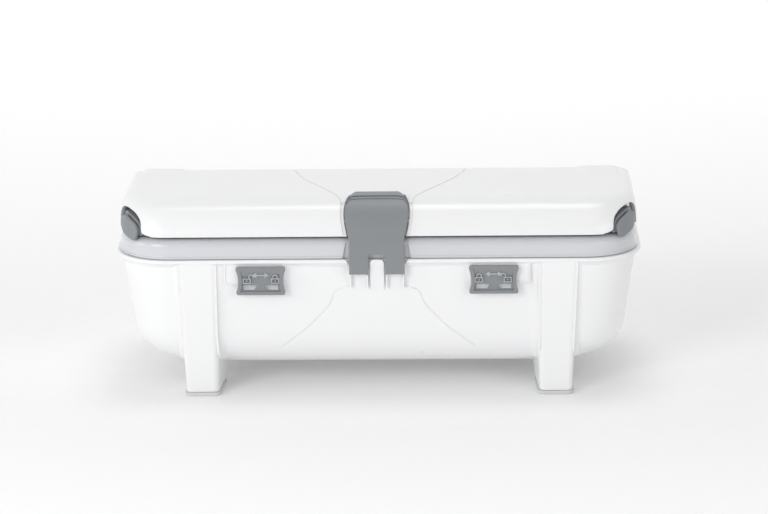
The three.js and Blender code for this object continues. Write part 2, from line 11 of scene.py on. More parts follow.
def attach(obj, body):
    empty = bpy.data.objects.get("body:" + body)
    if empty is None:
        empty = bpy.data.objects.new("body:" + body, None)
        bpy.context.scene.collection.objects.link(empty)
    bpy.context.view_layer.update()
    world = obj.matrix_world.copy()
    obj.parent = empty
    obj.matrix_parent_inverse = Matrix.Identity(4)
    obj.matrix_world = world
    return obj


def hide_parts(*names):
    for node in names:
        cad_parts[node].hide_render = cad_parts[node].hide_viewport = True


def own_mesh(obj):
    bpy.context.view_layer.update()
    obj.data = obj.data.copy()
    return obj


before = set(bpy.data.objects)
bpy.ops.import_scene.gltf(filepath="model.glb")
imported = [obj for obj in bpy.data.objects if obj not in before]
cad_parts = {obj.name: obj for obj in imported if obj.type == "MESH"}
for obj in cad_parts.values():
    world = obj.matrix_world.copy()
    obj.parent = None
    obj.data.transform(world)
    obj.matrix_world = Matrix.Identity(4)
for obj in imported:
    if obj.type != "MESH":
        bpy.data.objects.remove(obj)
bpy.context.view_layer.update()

MM = 0.001
HALF_TURN = math.pi
RIGHT_ANGLE = math.pi / 2

# ---- driving dimensions, the same as the CAD part's ----
HALF_WIDTH = 203.0
HALF_DEPTH = 88.0
RIM_TOP = 111.0
RIM_CORNER = 43.0
RIM_LIP = 3.5
WALL = 2.6
GAP = 0.3
TUB_TURN = 57.0
TUB_BOTTOM = 19.5
DECK_TOP = 126.4
DECK_CORNER = 41.0
LID_EDGE = 128.6
LEG_X = 137.0
PAD_HEIGHT = 3.0
CLIP_X = 89.0
CLAW_LOW, CLAW_HIGH = 95.0, 98.4
ROLL_Y, ROLL_Z, ROLL_RADIUS, ROLL_HALF = 8.0, 72.0, 38.0, 150.0
SPINDLE_RADIUS = 5.4
HINGE_X, HINGE_Y, HINGE_Z, HINGE_RADIUS = 150.0, 84.5, 124.5, 6.0
PIVOT_Y, PIVOT_Z = -78.7, 139.0
BLADE_Y = -71.9
SPRING_X, SPRING_Y, SPRING_LOW, SPRING_HIGH = 162.0, -64.0, 136.2, 146.3
TAB_INNER, TAB_OUTER = 6.4, 21.2
CRADLE_INNER, CRADLE_OUTER = 158.5, 161.5

# Axes that an outline (u, v) is extruded along: u, v and the direction of the extrusion.
ALONG_X = ((0, 1, 0), (0, 0, 1), (1, 0, 0))
ALONG_Y = ((1, 0, 0), (0, 0, 1), (0, 1, 0))
ALONG_Z = ((1, 0, 0), (0, 1, 0), (0, 0, 1))
DIAGONAL = math.sqrt(0.5)
ALONG_CORNER = ((-DIAGONAL, -DIAGONAL, 0), (0, 0, 1), (DIAGONAL, -DIAGONAL, 0))
CORNER_CENTRE = (HALF_WIDTH - 2.8 - DECK_CORNER, 1.8 + DECK_CORNER - HALF_DEPTH, 0)
LATCH_TILT = math.radians(73)
ALONG_LATCH = (
    (1, 0, 0),
    (0, math.cos(LATCH_TILT), math.sin(LATCH_TILT)),
    (0, -math.sin(LATCH_TILT), math.cos(LATCH_TILT)),
)


# ---- meshes from points ----
def new_object(name, data):
    obj = bpy.data.objects.new(name, data)
    bpy.context.scene.collection.objects.link(obj)
    return obj


def mesh_object(vertices, faces):
    mesh = bpy.data.meshes.new("work")
    mesh.from_pydata([tuple(v) for v in vertices], [], faces)
    obj = new_object("work", mesh)
    face_outwards(mesh)
    return obj


def face_outwards(mesh):
    """Turns every face of a closed mesh outwards."""
    mesh.validate()
    corners = np.array([v.co for v in mesh.vertices])
    mesh.calc_loop_triangles()
    triangles = np.array([t.vertices for t in mesh.loop_triangles])
    a, b, c = (corners[triangles[:, i]] for i in range(3))
    if np.einsum("ij,ij->i", a, np.cross(b, c)).sum() < 0:
        mesh.flip_normals()


def ring(z, x0, x1, y0, y1, radius, rear_radius=None, splay=0.0, arc=16, long=40, short=16):
    """A rectangle with round corners at height z, with points along its straight sides too.
    With splay, its low-X side slants outwards by that much from front to back."""
    rear = radius if rear_radius is None else rear_radius
    corners = (
        (x1 - radius, y0 + radius, radius, -RIGHT_ANGLE, short),
        (x1 - rear, y1 - rear, rear, 0.0, long),
        (x0 + rear, y1 - rear, rear, RIGHT_ANGLE, short),
        (x0 + radius, y0 + radius, radius, HALF_TURN, long),
    )
    points = []
    for i, (cx, cy, r, start, spread) in enumerate(corners):
        for step in range(arc + 1):
            angle = start + RIGHT_ANGLE * step / arc
            points.append((cx + r * math.cos(angle), cy + r * math.sin(angle), z))
        nx, ny, nr, next_start, _ = corners[(i + 1) % 4]
        end = (nx + nr * math.cos(next_start), ny + nr * math.sin(next_start))
        begin = points[-1]
        for step in range(1, spread):
            t = step / spread
            points.append((begin[0] + (end[0] - begin[0]) * t, begin[1] + (end[1] - begin[1]) * t, z))
    middle = (x0 + x1) / 2
    return [(x - splay * (y - y0) / (y1 - y0) if x < middle else x, y, z) for x, y, z in points]


def loft(rings):
    """A closed body through rings of equal length, given from the bottom up."""
    count = len(rings[0])
    vertices = [point for one in rings for point in one]
    faces = [tuple(range(count))[::-1]]
    for level in range(len(rings) - 1):
        low = level * count
        for i in range(count):
            j = (i + 1) % count
            faces.append((low + i, low + j, low + count + j, low + count + i))
    top = (len(rings) - 1) * count
    faces.append(tuple(range(top, top + count)))
    return mesh_object(vertices, faces)


def refined(rows, per):
    """Rows read off a smooth curve through the given ones."""
    given = np.array(rows, float)
    padded = np.vstack([2 * given[0] - given[1], given, 2 * given[-1] - given[-2]])
    found = []
    for i in range(len(given) - 1):
        a, b, c, d = padded[i:i + 4]
        for t in np.arange(per) / per:
            bend = (2 * a - 5 * b + 4 * c - d) * t * t + (3 * b - a - 3 * c + d) * t ** 3
            found.append(0.5 * (2 * b + (c - a) * t + bend))
    return found + [given[-1]]


def shell_rows(rows, inset=0.0):
    """Rings from symmetrical rows [z, half width, front, rear, corner radius, rear radius]."""
    rings = []
    for row in rows:
        z, x, front, rear, radius = row[:5]
        rear_radius = row[5] if len(row) > 5 else radius
        rings.append(ring(z, inset - x, x - inset, front + inset, rear - inset,
                          radius - inset, rear_radius - inset))
    return rings


def prism(outline, low, high, axes, origin=(0, 0, 0)):
    """An outline of (u, v) points, extruded from low to high."""
    u_axis, v_axis, along = (np.array(axis, float) for axis in axes)
    base = [np.array(origin) + u * u_axis + v * v_axis for u, v in outline]
    return loft([[point + along * low for point in base], [point + along * high for point in base]])


def block(x0, x1, y0, y1, z0, z1):
    return prism([(x0, y0), (x1, y0), (x1, y1), (x0, y1)], z0, z1, ALONG_Z)


def rounded_outline(u0, u1, v0, v1, radius, arc=6):
    points = ring(0, u0, u1, v0, v1, radius, arc=arc, long=1, short=1)
    return [(u, v) for u, v, _ in points]


def circle(radius, u=0.0, v=0.0, sides=48):
    steps = [2 * math.pi * i / sides for i in range(sides)]
    return [(u + radius * math.cos(a), v + radius * math.sin(a)) for a in steps]


def rod(radius, y, z, low, high, sides=48):
    return prism(circle(radius, y, z, sides), low, high, ALONG_X)


def spline(points, per=6):
    """A smooth line through points, sampled."""
    return [tuple(p) for p in refined(points, per)]


def bezier(a, b, c, d, steps=12):
    """Points along a cubic curve, without its first point."""
    a, b, c, d = (np.array(p, float) for p in (a, b, c, d))
    found = []
    for t in np.arange(1, steps + 1) / steps:
        s = 1 - t
        found.append(tuple(a * s ** 3 + 3 * b * s * s * t + 3 * c * s * t * t + d * t ** 3))
    return found


def lathe(profile, origin, axis, sides):
    """Rings of points: a profile of (radius, distance) turned round an X or Y axis through origin."""
    rings = []
    for radius, distance in profile:
        one = []
        for i in range(sides):
            a = 2 * math.pi * i / sides
            c, s = radius * math.cos(a), radius * math.sin(a)
            offset = {"X": (distance, c, s), "Y": (s, distance, c)}[axis]
            one.append(tuple(o + p for o, p in zip(origin, offset)))
        rings.append(one)
    return rings


def turned(profile, origin, axis="X", sides=96):
    """A solid body of revolution: its profile starts and ends at radius 0."""
    return loft(lathe(profile, origin, axis, sides))


def turned_ring(profile, origin, sides=96):
    """A ring-shaped body round X: the profile is a closed loop that stays off the axis."""
    rings = lathe(profile, origin, "X", sides)
    vertices = [point for one in rings for point in one]
    faces = []
    for level in range(len(rings)):
        low, high = level * sides, ((level + 1) % len(rings)) * sides
        faces += [(low + i, low + (i + 1) % sides, high + (i + 1) % sides, high + i) for i in range(sides)]
    return mesh_object(vertices, faces)


def swept(path, radius, sides=12):
    """A round wire along a path of points."""
    path = [Vector(p) for p in path]
    rings = []
    normal = None
    for i, point in enumerate(path):
        along = (path[min(i + 1, len(path) - 1)] - path[max(i - 1, 0)]).normalized()
        if normal is None:
            normal = along.orthogonal().normalized()
        normal = (normal - along * normal.dot(along)).normalized()
        across = along.cross(normal)
        rings.append([
            tuple(point + (normal * math.cos(a) + across * math.sin(a)) * radius)
            for a in (2 * math.pi * k / sides for k in range(sides))
        ])
    return loft(rings)


# ---- joining and cutting ----
def applied(obj):
    """Makes the result of an object's modifiers its own mesh."""
    depsgraph = bpy.context.evaluated_depsgraph_get()
    mesh = bpy.data.meshes.new_from_object(obj.evaluated_get(depsgraph))
    old = obj.data
    obj.modifiers.clear()
    obj.data = mesh
    bpy.data.meshes.remove(old)
    return obj


def boolean(body, tools, operation):
    for tool in tools:
        modifier = body.modifiers.new("boolean", "BOOLEAN")
        modifier.object = tool
        modifier.operation = operation
        modifier.solver = "MANIFOLD"
        applied(body)
        bpy.data.objects.remove(tool)
    return body


def join(body, *tools):
    return boolean(body, tools, "UNION")


def cut(body, *tools):
    return boolean(body, tools, "DIFFERENCE")


def common(body, *tools):
    return boolean(body, tools, "INTERSECT")


def moved(obj, matrix):
    """Transforms an object's mesh and keeps its faces outwards when it is mirrored."""
    obj.data.transform(matrix)
    if matrix.determinant() < 0:
        obj.data.flip_normals()
    return obj


def copied(obj):
    return new_object("work", obj.data.copy())


MIRROR_X = Matrix.Diagonal((-1, 1, 1, 1))
MIRROR_Y = Matrix.Diagonal((1, -1, 1, 1))


def both_sides(*bodies):
    return [one for body in bodies for one in (body, moved(copied(body), MIRROR_X))]


def four_ways(body):
    return [one for half in both_sides(body) for one in (half, moved(copied(half), MIRROR_Y))]


def softened(body, voxel, passes):
    """Rounds every edge of a small moulded part: a fine remesh, then smoothing."""
    remesh = body.modifiers.new("remesh", "REMESH")
    remesh.mode = "VOXEL"
    remesh.voxel_size = voxel
    smooth = body.modifiers.new("smooth", "SMOOTH")
    smooth.factor = 0.5
    smooth.iterations = passes
    return applied(body)


# ---- materials ----
class Shader:
    """A node material built up step by step."""

    def __init__(self, name, color, roughness, metallic=0.0):
        self.material = bpy.data.materials.new(name)
        self.material.use_nodes = True
        self.tree = self.material.node_tree
        self.surface = self.tree.nodes["Principled BSDF"]
        self.surface.inputs["Base Color"].default_value = (*color, 1)
        self.surface.inputs["Roughness"].default_value = roughness
        self.surface.inputs["Metallic"].default_value = metallic
        self.place = self.node("ShaderNodeTexCoord").outputs["Object"]
        self.material.diffuse_color = (*color, 1)

    def node(self, kind, **values):
        made = self.tree.nodes.new(kind)
        for key, value in values.items():
            setattr(made, key, value)
        return made

    def link(self, source, target):
        self.tree.links.new(source, target)

    def stretched(self, scale):
        mapping = self.node("ShaderNodeMapping")
        mapping.inputs["Scale"].default_value = scale
        self.link(self.place, mapping.inputs["Vector"])
        return mapping.outputs["Vector"]

    def noise(self, scale, detail=2.0, stretch=None, distortion=0.0, place=None):
        texture = self.node("ShaderNodeTexNoise")
        texture.inputs["Scale"].default_value = scale
        texture.inputs["Detail"].default_value = detail
        texture.inputs["Distortion"].default_value = distortion
        self.link(self.stretched(stretch) if stretch else place or self.place, texture.inputs["Vector"])
        return texture.outputs["Fac"]

    def ranged(self, source, low, high, start=0.0, end=1.0):
        remap = self.node("ShaderNodeMapRange")
        for socket, value in (("From Min", start), ("From Max", end), ("To Min", low), ("To Max", high)):
            remap.inputs[socket].default_value = value
        self.link(source, remap.inputs["Value"])
        return remap.outputs["Result"]

    def ramp(self, source, stops):
        ramp = self.node("ShaderNodeValToRGB")
        elements = ramp.color_ramp.elements
        while len(elements) < len(stops):
            elements.new(0.5)
        for element, (position, color) in zip(elements, stops):
            element.position = position
            element.color = (*color, 1)
        self.link(source, ramp.inputs["Fac"])
        return ramp.outputs["Color"]

    def math(self, operation, *sources):
        made = self.node("ShaderNodeMath", operation=operation)
        for socket, source in zip(made.inputs, sources):
            if isinstance(source, (int, float)):
                socket.default_value = source
            else:
                self.link(source, socket)
        return made.outputs["Value"]

    def rounded(self, radius):
        bevel = self.node("ShaderNodeBevel", samples=6)
        bevel.inputs["Radius"].default_value = radius
        return bevel.outputs["Normal"]

    def bump(self, source, distance, strength=1.0, normal=None):
        bump = self.node("ShaderNodeBump")
        bump.inputs["Distance"].default_value = distance
        bump.inputs["Strength"].default_value = strength
        self.link(source, bump.inputs["Height"])
        if normal is not None:
            self.link(normal, bump.inputs["Normal"])
        return bump.outputs["Normal"]

    def color(self, source):
        self.link(source, self.surface.inputs["Base Color"])

    def roughness(self, source):
        self.link(source, self.surface.inputs["Roughness"])

    def normal(self, source):
        self.link(source, self.surface.inputs["Normal"])

    def fixed(self, **values):
        for key, value in values.items():
            self.surface.inputs[key.replace("_", " ")].default_value = value


def shaded(color, factor):
    return tuple(min(1.0, c * factor) for c in color)


def moulded(name, color, gloss, grain=0.00004, edge=0.0006, tint=0.03, detail=3.0, spread=0.06,
            coat=(0.0, 0.03)):
    """Injection-moulded plastic: faint flow tone, orange peel, fine grain and rounded edges."""
    shader = Shader(name, color, gloss)
    flow = shader.noise(9.0, detail, stretch=(1.0, 2.4, 2.4), distortion=0.2 * detail)
    shader.color(shader.ramp(flow, ((0.1, shaded(color, 1 - tint)), (0.9, shaded(color, 1 + tint)))))
    smear = shader.noise(45.0, detail)
    shader.roughness(shader.ranged(smear, gloss - spread, gloss + spread, 0.1, 0.9))
    peel = shader.noise(620.0, 1.0)
    fine = shader.noise(5200.0, 2.0)
    soft = shader.bump(peel, grain, 0.35, shader.rounded(edge))
    shader.normal(shader.bump(fine, grain, 0.3, soft))
    shader.fixed(Coat_Weight=coat[0], Coat_Roughness=coat[1])
    return shader.material


def brushed_steel(name="brushed_steel", stretch=(1.0, 1.0, 40.0)):
    color = (0.62, 0.63, 0.645)
    shader = Shader(name, color, 0.28, metallic=1.0)
    brushing = shader.noise(420.0, 5.0, stretch=stretch)
    shader.color(shader.ramp(brushing, ((0.25, shaded(color, 0.86)), (0.75, shaded(color, 1.1)))))
    shader.roughness(shader.ranged(brushing, 0.2, 0.38, 0.3, 0.7))
    shader.normal(shader.bump(brushing, 0.00003, 0.6, shader.rounded(0.0002)))
    return shader.material


def wound_card():
    """Spiral-wound card: slanted seams and paper fibre."""
    shader = Shader("wound_card", (0.46, 0.33, 0.2), 0.88)
    wave = shader.node("ShaderNodeTexWave", bands_direction="X")
    wave.inputs["Scale"].default_value = 6.0
    wave.inputs["Distortion"].default_value = 0.4
    shader.link(shader.stretched((1.0, 1.4, 1.4)), wave.inputs["Vector"])
    fibre = shader.noise(900.0, 6.0, stretch=(0.25, 1.0, 1.0))
    mixed = shader.math("MULTIPLY_ADD", wave.outputs["Fac"], 0.2, fibre)
    shader.color(shader.ramp(mixed, ((0.35, (0.36, 0.25, 0.15)), (0.8, (0.52, 0.39, 0.25)))))
    shader.normal(shader.bump(fibre, 0.0002, 0.5))
    return shader.material


def wound_film():
    """A roll of clear film: milky, glossy, with fine winding lines on its ends and bands round it."""
    shader = Shader("wound_film", (0.78, 0.83, 0.85), 0.16)
    parts = shader.node("ShaderNodeSeparateXYZ")
    shader.link(shader.place, parts.inputs["Vector"])
    across = shader.math("SUBTRACT", parts.outputs["Y"], ROLL_Y * MM)
    up = shader.math("SUBTRACT", parts.outputs["Z"], ROLL_Z * MM)
    square = shader.math("ADD", shader.math("MULTIPLY", across, across), shader.math("MULTIPLY", up, up))
    radius = shader.math("SQRT", square)
    place = shader.node("ShaderNodeCombineXYZ")
    shader.link(radius, place.inputs["X"])
    shader.link(shader.math("MULTIPLY", parts.outputs["X"], 0.08), place.inputs["Y"])
    lines = shader.noise(1800.0, 3.0, place=place.outputs["Vector"])
    shader.color(shader.ramp(lines, ((0.3, (0.7, 0.76, 0.79)), (0.7, (0.84, 0.88, 0.9)))))
    wrinkles = shader.noise(26.0, 3.0, stretch=(3.0, 1.0, 1.0), distortion=1.2)
    shader.roughness(shader.ranged(wrinkles, 0.08, 0.26, 0.3, 0.7))
    shader.normal(shader.bump(wrinkles, 0.0008, 0.35, shader.bump(lines, 0.00006, 0.5)))
    shader.fixed(Transmission_Weight=0.25, IOR=1.5, Coat_Weight=0.4, Coat_Roughness=0.08)
    return shader.material


WHITE = moulded("white_plastic", (0.87, 0.873, 0.88), 0.3,
                grain=0.000006, tint=0.006, detail=0.0, spread=0.03, coat=(0.25, 0.12))
DECK_GREY = moulded("deck_plastic", (0.62, 0.635, 0.665), 0.24,
                    grain=0.00001, tint=0.012, detail=0.0, spread=0.03, coat=(0.35, 0.1))
MID_GREY = moulded("grey_plastic", (0.24, 0.255, 0.268), 0.4, grain=0.00006, edge=0.0003, tint=0.04)
# A paler grey for the front faces of the clips' raised symbols: a painted highlight, as if light caught
# them.
SYMBOL_HIGHLIGHT_GREY = moulded("symbol_highlight_paint", (0.42, 0.43, 0.45), 0.4, edge=0.0002)
RUBBER = moulded("pale_rubber", (0.64, 0.645, 0.65), 0.7, grain=0.0001, tint=0.05)
STEEL = brushed_steel()
BLADE_STEEL = brushed_steel("blade_steel", (40.0, 1.0, 1.0))
CARD = wound_card()
FILM = wound_film()


# ---- placing a finished piece ----
def finish_piece(obj, name, body, material, nodes=(), angle=32):
    obj.name = name
    obj.data.name = name
    obj.data.transform(Matrix.Scale(MM, 4))
    obj.data.materials.clear()
    obj.data.materials.append(material)
    obj.data.polygons.foreach_set("use_smooth", [True] * len(obj.data.polygons))
    obj.data.set_sharp_from_angle(angle=math.radians(angle))
    weighted = obj.modifiers.new("weighted normals", "WEIGHTED_NORMAL")
    weighted.keep_sharp = True
    weighted.weight = 60
    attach(obj, body)
    if nodes:
        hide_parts(*nodes)
    return obj


def finish_node(name, material, width=0.00015):
    """A CAD node that stays: a small bevel on its edges and its material."""
    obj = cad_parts[name]
    obj.data.materials.clear()
    obj.data.materials.append(material)
    bevel = obj.modifiers.new("bevel", "BEVEL")
    bevel.width = width
    bevel.segments = 2
    bevel.limit_method = "ANGLE"
    bevel.angle_limit = math.radians(40)
    return obj


# ---- tub ----
def tub_rows(inset=0.0, top=RIM_TOP):
    turn_x = HALF_WIDTH - RIM_LIP - 8
    turn_y = HALF_DEPTH - RIM_LIP - 4.5
    end_round, side_round, corner = 38.0, 34.0, 36.0
    rows = []
    curve_steps, wall_steps = 24, 12
    for step in range(curve_steps, 0, -1):
        angle = RIGHT_ANGLE * step / curve_steps
        away = 1 - math.cos(angle)
        x = turn_x - inset - (end_round - inset) * away
        y = turn_y - inset - (side_round - inset) * away
        z = TUB_TURN - (TUB_TURN - TUB_BOTTOM - inset) * math.sin(angle)
        rows.append((z, x, -y, y, corner - inset))
    for step in range(wall_steps + 1):
        t = step / wall_steps
        x = turn_x + (HALF_WIDTH - RIM_LIP - turn_x) * t - inset
        y = turn_y + (HALF_DEPTH - RIM_LIP - turn_y) * t - inset
        radius = corner + (RIM_CORNER - RIM_LIP - corner) * t - inset
        rows.append((TUB_TURN + (RIM_TOP - TUB_TURN) * t, x, -y, y, radius))
    if top > RIM_TOP:
        rows.append((top, *rows[-1][1:]))
    return rows


def tub_body(inset=0.0, top=RIM_TOP):
    return loft(shell_rows(tub_rows(inset, top)))


TUB_LINE = ((-26, 87.6), (-32.3, 84.5), (-36.1, 75), (-43.2, 66.5), (-53.7, 55.6), (-65.5, 46), (-75, 38))
# Height, distance out and in from the leg's middle, front, back, and the slant of its inner side.
LEG_ROWS = (
    (3.3, 12.4, 12.6, -80.4, -43.0, 3.0),
    (18.0, 12.9, 12.8, -81.6, -41.0, 5.0),
    (34.0, 13.6, 13.0, -82.7, -38.0, 7.5),
    (60.0, 14.8, 13.2, -84.4, -38.0, 5.0),
    (84.0, 15.7, 13.5, -85.7, -49.0, 3.5),
    (104.0, 16.4, 13.7, -87.0, -57.6, 2.4),
    (108.5, 16.6, 13.8, -87.7, -60.0, 2.0),
)


def leg_body(inset=0.0, bottom=PAD_HEIGHT + GAP, top=108.6):
    radius = 3.8 - inset / 2
    rings = []
    rows = [row for row in refined(LEG_ROWS, 8) if row[0] < top]
    for i, (z, outer, inner, front, back, splay) in enumerate(rows):
        level = bottom if i == 0 else z
        rings.append(ring(level, LEG_X - inner + inset, LEG_X + outer - inset, front + inset, back - inset,
                          radius, splay=splay, arc=8, long=4, short=6))
    return loft(rings)


def tub_front(z):
    """How far forward the tub's flat front lies at height z."""
    rows = [(row[0], row[2]) for row in tub_rows()]
    return float(np.interp(z, [row[0] for row in rows], [row[1] for row in rows]))


def leg_fillets():
    """The hollow curves where the front of the tub runs into both sides of a leg."""
    levels = [row for row in refined(LEG_ROWS, 8) if 26 < row[0] < 108]
    inner, outer = [], []
    for z, out, into, front, back, splay in levels:
        wall_y = tub_front(z)
        depth = min(8.0, (wall_y - front) * 0.9)
        slant = splay * (wall_y - front) / (back - front)
        sides = ((inner, LEG_X - into - slant, -1, 7.5), (outer, LEG_X + out, 1, 5.0))
        for rings, edge, way, width in sides:
            curve = [(edge + way * width * (1 - math.cos(a)), wall_y - depth * (1 - math.sin(a)))
                     for a in (RIGHT_ANGLE * i / 10 for i in range(11))]
            end = curve[-1]
            rings.append([(x, y, z) for x, y in [(edge - way * 2, curve[0][1])] + curve
                          + [(end[0], end[1] + 1.5), (edge - way * 2, end[1] + 1.5)]])
    return [loft(inner), loft(outer)]


def latch_facets():
    """Shallow slanting flats where the tub dips towards the latch."""
    low, high, inner = 88.4, 108.4, -21.0
    upper_y, lower_y = tub_front(108), tub_front(low)
    corners = [(-39.5, upper_y - 0.05, high), (-25.2, lower_y - 0.05, low), (inner, lower_y + 0.5, low),
               (inner, upper_y + 1.5, high)]
    ahead = [(x, y - 8, z) for x, y, z in corners]
    faces = [(0, 1, 2), (0, 2, 3), (4, 6, 5), (4, 7, 6)]
    faces += [(4 + i, 4 + (i + 1) % 4, (i + 1) % 4, i) for i in range(4)]
    return both_sides(mesh_object(corners + ahead, faces))


def tub_rim():
    under = RIM_TOP - 3
    edge = (
        (under - 3.4, RIM_LIP + 0.4), (under - 2.2, RIM_LIP - 0.1), (under - 1.0, 2.2), (under - 0.3, 1.1),
        (under + 0.1, 0.35), (under + 0.5, 0.05), (under + 1.2, 0.0), (RIM_TOP - 0.9, 0.0),
        (RIM_TOP - 0.45, 0.12), (RIM_TOP - 0.14, 0.42), (RIM_TOP, 0.9),
    )
    rows = [(z, HALF_WIDTH - d, d - HALF_DEPTH, HALF_DEPTH - d, RIM_CORNER - d) for z, d in edge]
    return loft(shell_rows(rows))


def hinge_lugs():
    sides = 20
    outline = [(HINGE_Y + HINGE_RADIUS * math.cos(a), HINGE_Z + HINGE_RADIUS * math.sin(a))
               for a in (HALF_TURN * i / sides for i in range(sides + 1))]
    outline += [(HINGE_Y - HINGE_RADIUS, RIM_TOP - 2), (HALF_DEPTH - RIM_LIP, RIM_TOP - 10),
                (HALF_DEPTH, RIM_TOP - 2)]
    lugs = []
    for low, high in ((-14.0, -7.4), (7.4, 14.0)):
        lug = prism(outline, HINGE_X + low, HINGE_X + high, ALONG_X)
        bore = rod(2.1, HINGE_Y, HINGE_Z, HINGE_X + low - 2, HINGE_X + high + 2)
        lugs += both_sides(cut(lug, bore))
    return lugs


def tub_lines():
    """The fine curved lines that sweep down and outwards from the latch."""
    layer = cut(tub_body(-1.0), tub_body(0.25))
    line = prism(stroke(spline(TUB_LINE, 5), 0.5), -95, -20, ALONG_Y)
    return both_sides(common(line, layer))


def clip_seats():
    x0, x1 = CLIP_X - 18.4, CLIP_X + 28
    seat = prism(rounded_outline(x0, x1, 91.6, 109, 2.2), -86.5, -80, ALONG_Y)
    return both_sides(seat)


def latch_notch():
    """The gap for one tab of the latch: it flares where it opens through the top of the rim."""
    inner, outer = TAB_INNER - 1.0, TAB_OUTER + 1.0
    mouth_in, mouth_out, brim, above = inner - 2.4, outer + 2.8, RIM_TOP + 0.1, RIM_TOP + 6
    outline = [(inner + 1, 99.6), (outer - 1, 99.6), (outer, 100.6), (outer, 107.4)]
    outline += bezier((outer, 107.4), (outer, 109.4), (outer + 0.8, 110.6), (mouth_out, brim), 6)
    outline += [(mouth_out, above), (mouth_in, above)]
    outline += bezier((mouth_in, brim), (inner - 0.8, 110.6), (inner, 109.4), (inner, 107.4), 6)
    return outline + [(inner, 100.6)]


def latch_ribs():
    """Short ribs under the latch's tabs."""
    return [prism([(x - 0.6, 88), (x + 0.6, 88), (x + 0.6, 98.5), (x - 0.6, 98.5)], -86.4, -80, ALONG_Y)
            for x in (-TAB_OUTER + 1, -TAB_INNER - 1, TAB_INNER + 1, TAB_OUTER - 1)]


def catch_bars():
    outline = rounded_outline(-87.4, -82, 104.4, 107.2, 0.8)
    return both_sides(prism(outline, TAB_INNER + 0.8, TAB_OUTER - 0.8, ALONG_X))


def middle_boss():
    """The rounded boss between the latch's tabs, which fades into the tub's front."""
    boss = prism(rounded_outline(-5.4, 5.4, 84, RIM_TOP, 3.0), -88, -82, ALONG_Y)
    slope = [(-82.3, 84), (-84.2, 90), (-86.6, 99), (-88, 106), (-88, RIM_TOP + 1), (-82, RIM_TOP + 1),
             (-82, 84)]
    return common(boss, prism(slope, -8, 8, ALONG_X))


def clip_openings():
    """For each clip, a slot that its claw passes through and the pocket that it slides in."""
    slot = rounded_outline(CLIP_X - 15.4, CLIP_X + 4.6, CLAW_LOW - 0.6, CLAW_HIGH + 0.6, 0.8)
    pocket = rounded_outline(CLIP_X - 17, CLIP_X + 26.8, 92.8, 106.8, 1.2)
    return both_sides(prism(slot, -95, -70, ALONG_Y), prism(pocket, -95, -86.1, ALONG_Y))


def make_tub():
    body = cut(tub_body(), *latch_facets(), *tub_lines())
    fillets = [one for fillet in leg_fillets() for one in four_ways(fillet)]
    join(body, tub_rim(), *four_ways(leg_body()), *fillets, *clip_seats(), *hinge_lugs(), *latch_ribs())
    cut(body, *both_sides(prism(latch_notch(), -95, -85.2, ALONG_Y)))
    join(body, *catch_bars(), middle_boss())
    hollows = [cut(hollow, tub_body()) for hollow in four_ways(leg_body(WALL, -1, 62))]
    cut(body, tub_body(WALL, RIM_TOP + 2), *hollows, *clip_openings())
    finish_piece(body, "tub", "base", WHITE, ["base_tub"])


def make_foot(side, end, place):
    rows = [(0.0, 13.0, -81.0, -42.4, 3.6), (0.5, 13.3, -81.3, -42.1, 3.9),
            (PAD_HEIGHT - 0.6, 13.4, -81.4, -42.0, 4.0), (PAD_HEIGHT, 13.2, -81.2, -42.2, 3.8)]
    plate = loft([ring(z, LEG_X - x, LEG_X + x, y0, y1, r, splay=3.0, arc=8, long=10, short=10)
                  for z, x, y0, y1, r in rows])
    plug = block(LEG_X - 9.4, LEG_X + 9.4, -77, -46.4, PAD_HEIGHT - 0.5, 13)
    body = cut(join(plate, plug), block(LEG_X - 7.4, LEG_X + 7.4, -75, -48.4, 5, 14))
    grooves = [block(LEG_X - 10, LEG_X + 10, y - 0.7, y + 0.7, -1, 0.8) for y in range(-76, -44, 5)]
    cut(body, *grooves)
    moved(body, Matrix.Diagonal((side, -end, 1, 1)))
    softened(body, 0.45, 3)
    finish_piece(body, f"foot_{place}", "base", RUBBER, [f"foot_pad_{place}"], 60)


# ---- deck ----
# Height, distance in from the rim's edge, and how much smaller the corner is.
DECK_ROWS = (
    (RIM_TOP + 0.3, 3.5, 0.9), (RIM_TOP + 0.6, 3.0, 0.3), (RIM_TOP + 1.1, 2.8, 0.0),
    (RIM_TOP + 1.7, 2.8, 0.0), (RIM_TOP + 2.2, 3.1, 0.3), (RIM_TOP + 2.8, 3.4, 0.6), (116.0, 3.5, 0.7),
    (120.0, 3.7, 0.9), (122.2, 4.1, 1.3), (123.8, 5.0, 2.2), (125.0, 6.3, 3.4), (125.9, 8.0, 5.0),
    (126.3, 9.4, 6.4), (DECK_TOP, 11.0, 8.0),
)


def hinge_recess(margin, inward, bottom, top):
    return block(HINGE_X - 18 - margin, HINGE_X + 15.5 + margin, 77.6 - inward, 95, bottom, top)


def spindle_slot():
    half = SPINDLE_RADIUS + 0.3
    low, high = CRADLE_INNER - 4, CRADLE_OUTER + 9
    slot = block(low, high, ROLL_Y - half, ROLL_Y + half, ROLL_Z, DECK_TOP + 5)
    return join(slot, rod(half, ROLL_Y, ROLL_Z, low, high))


def skirt_body(low, high, inset=0.0):
    return loft(shell_rows([(low, 193.4, -80, 80, 35), (high, 194, -80.8, 80.8, 35.5)], inset))


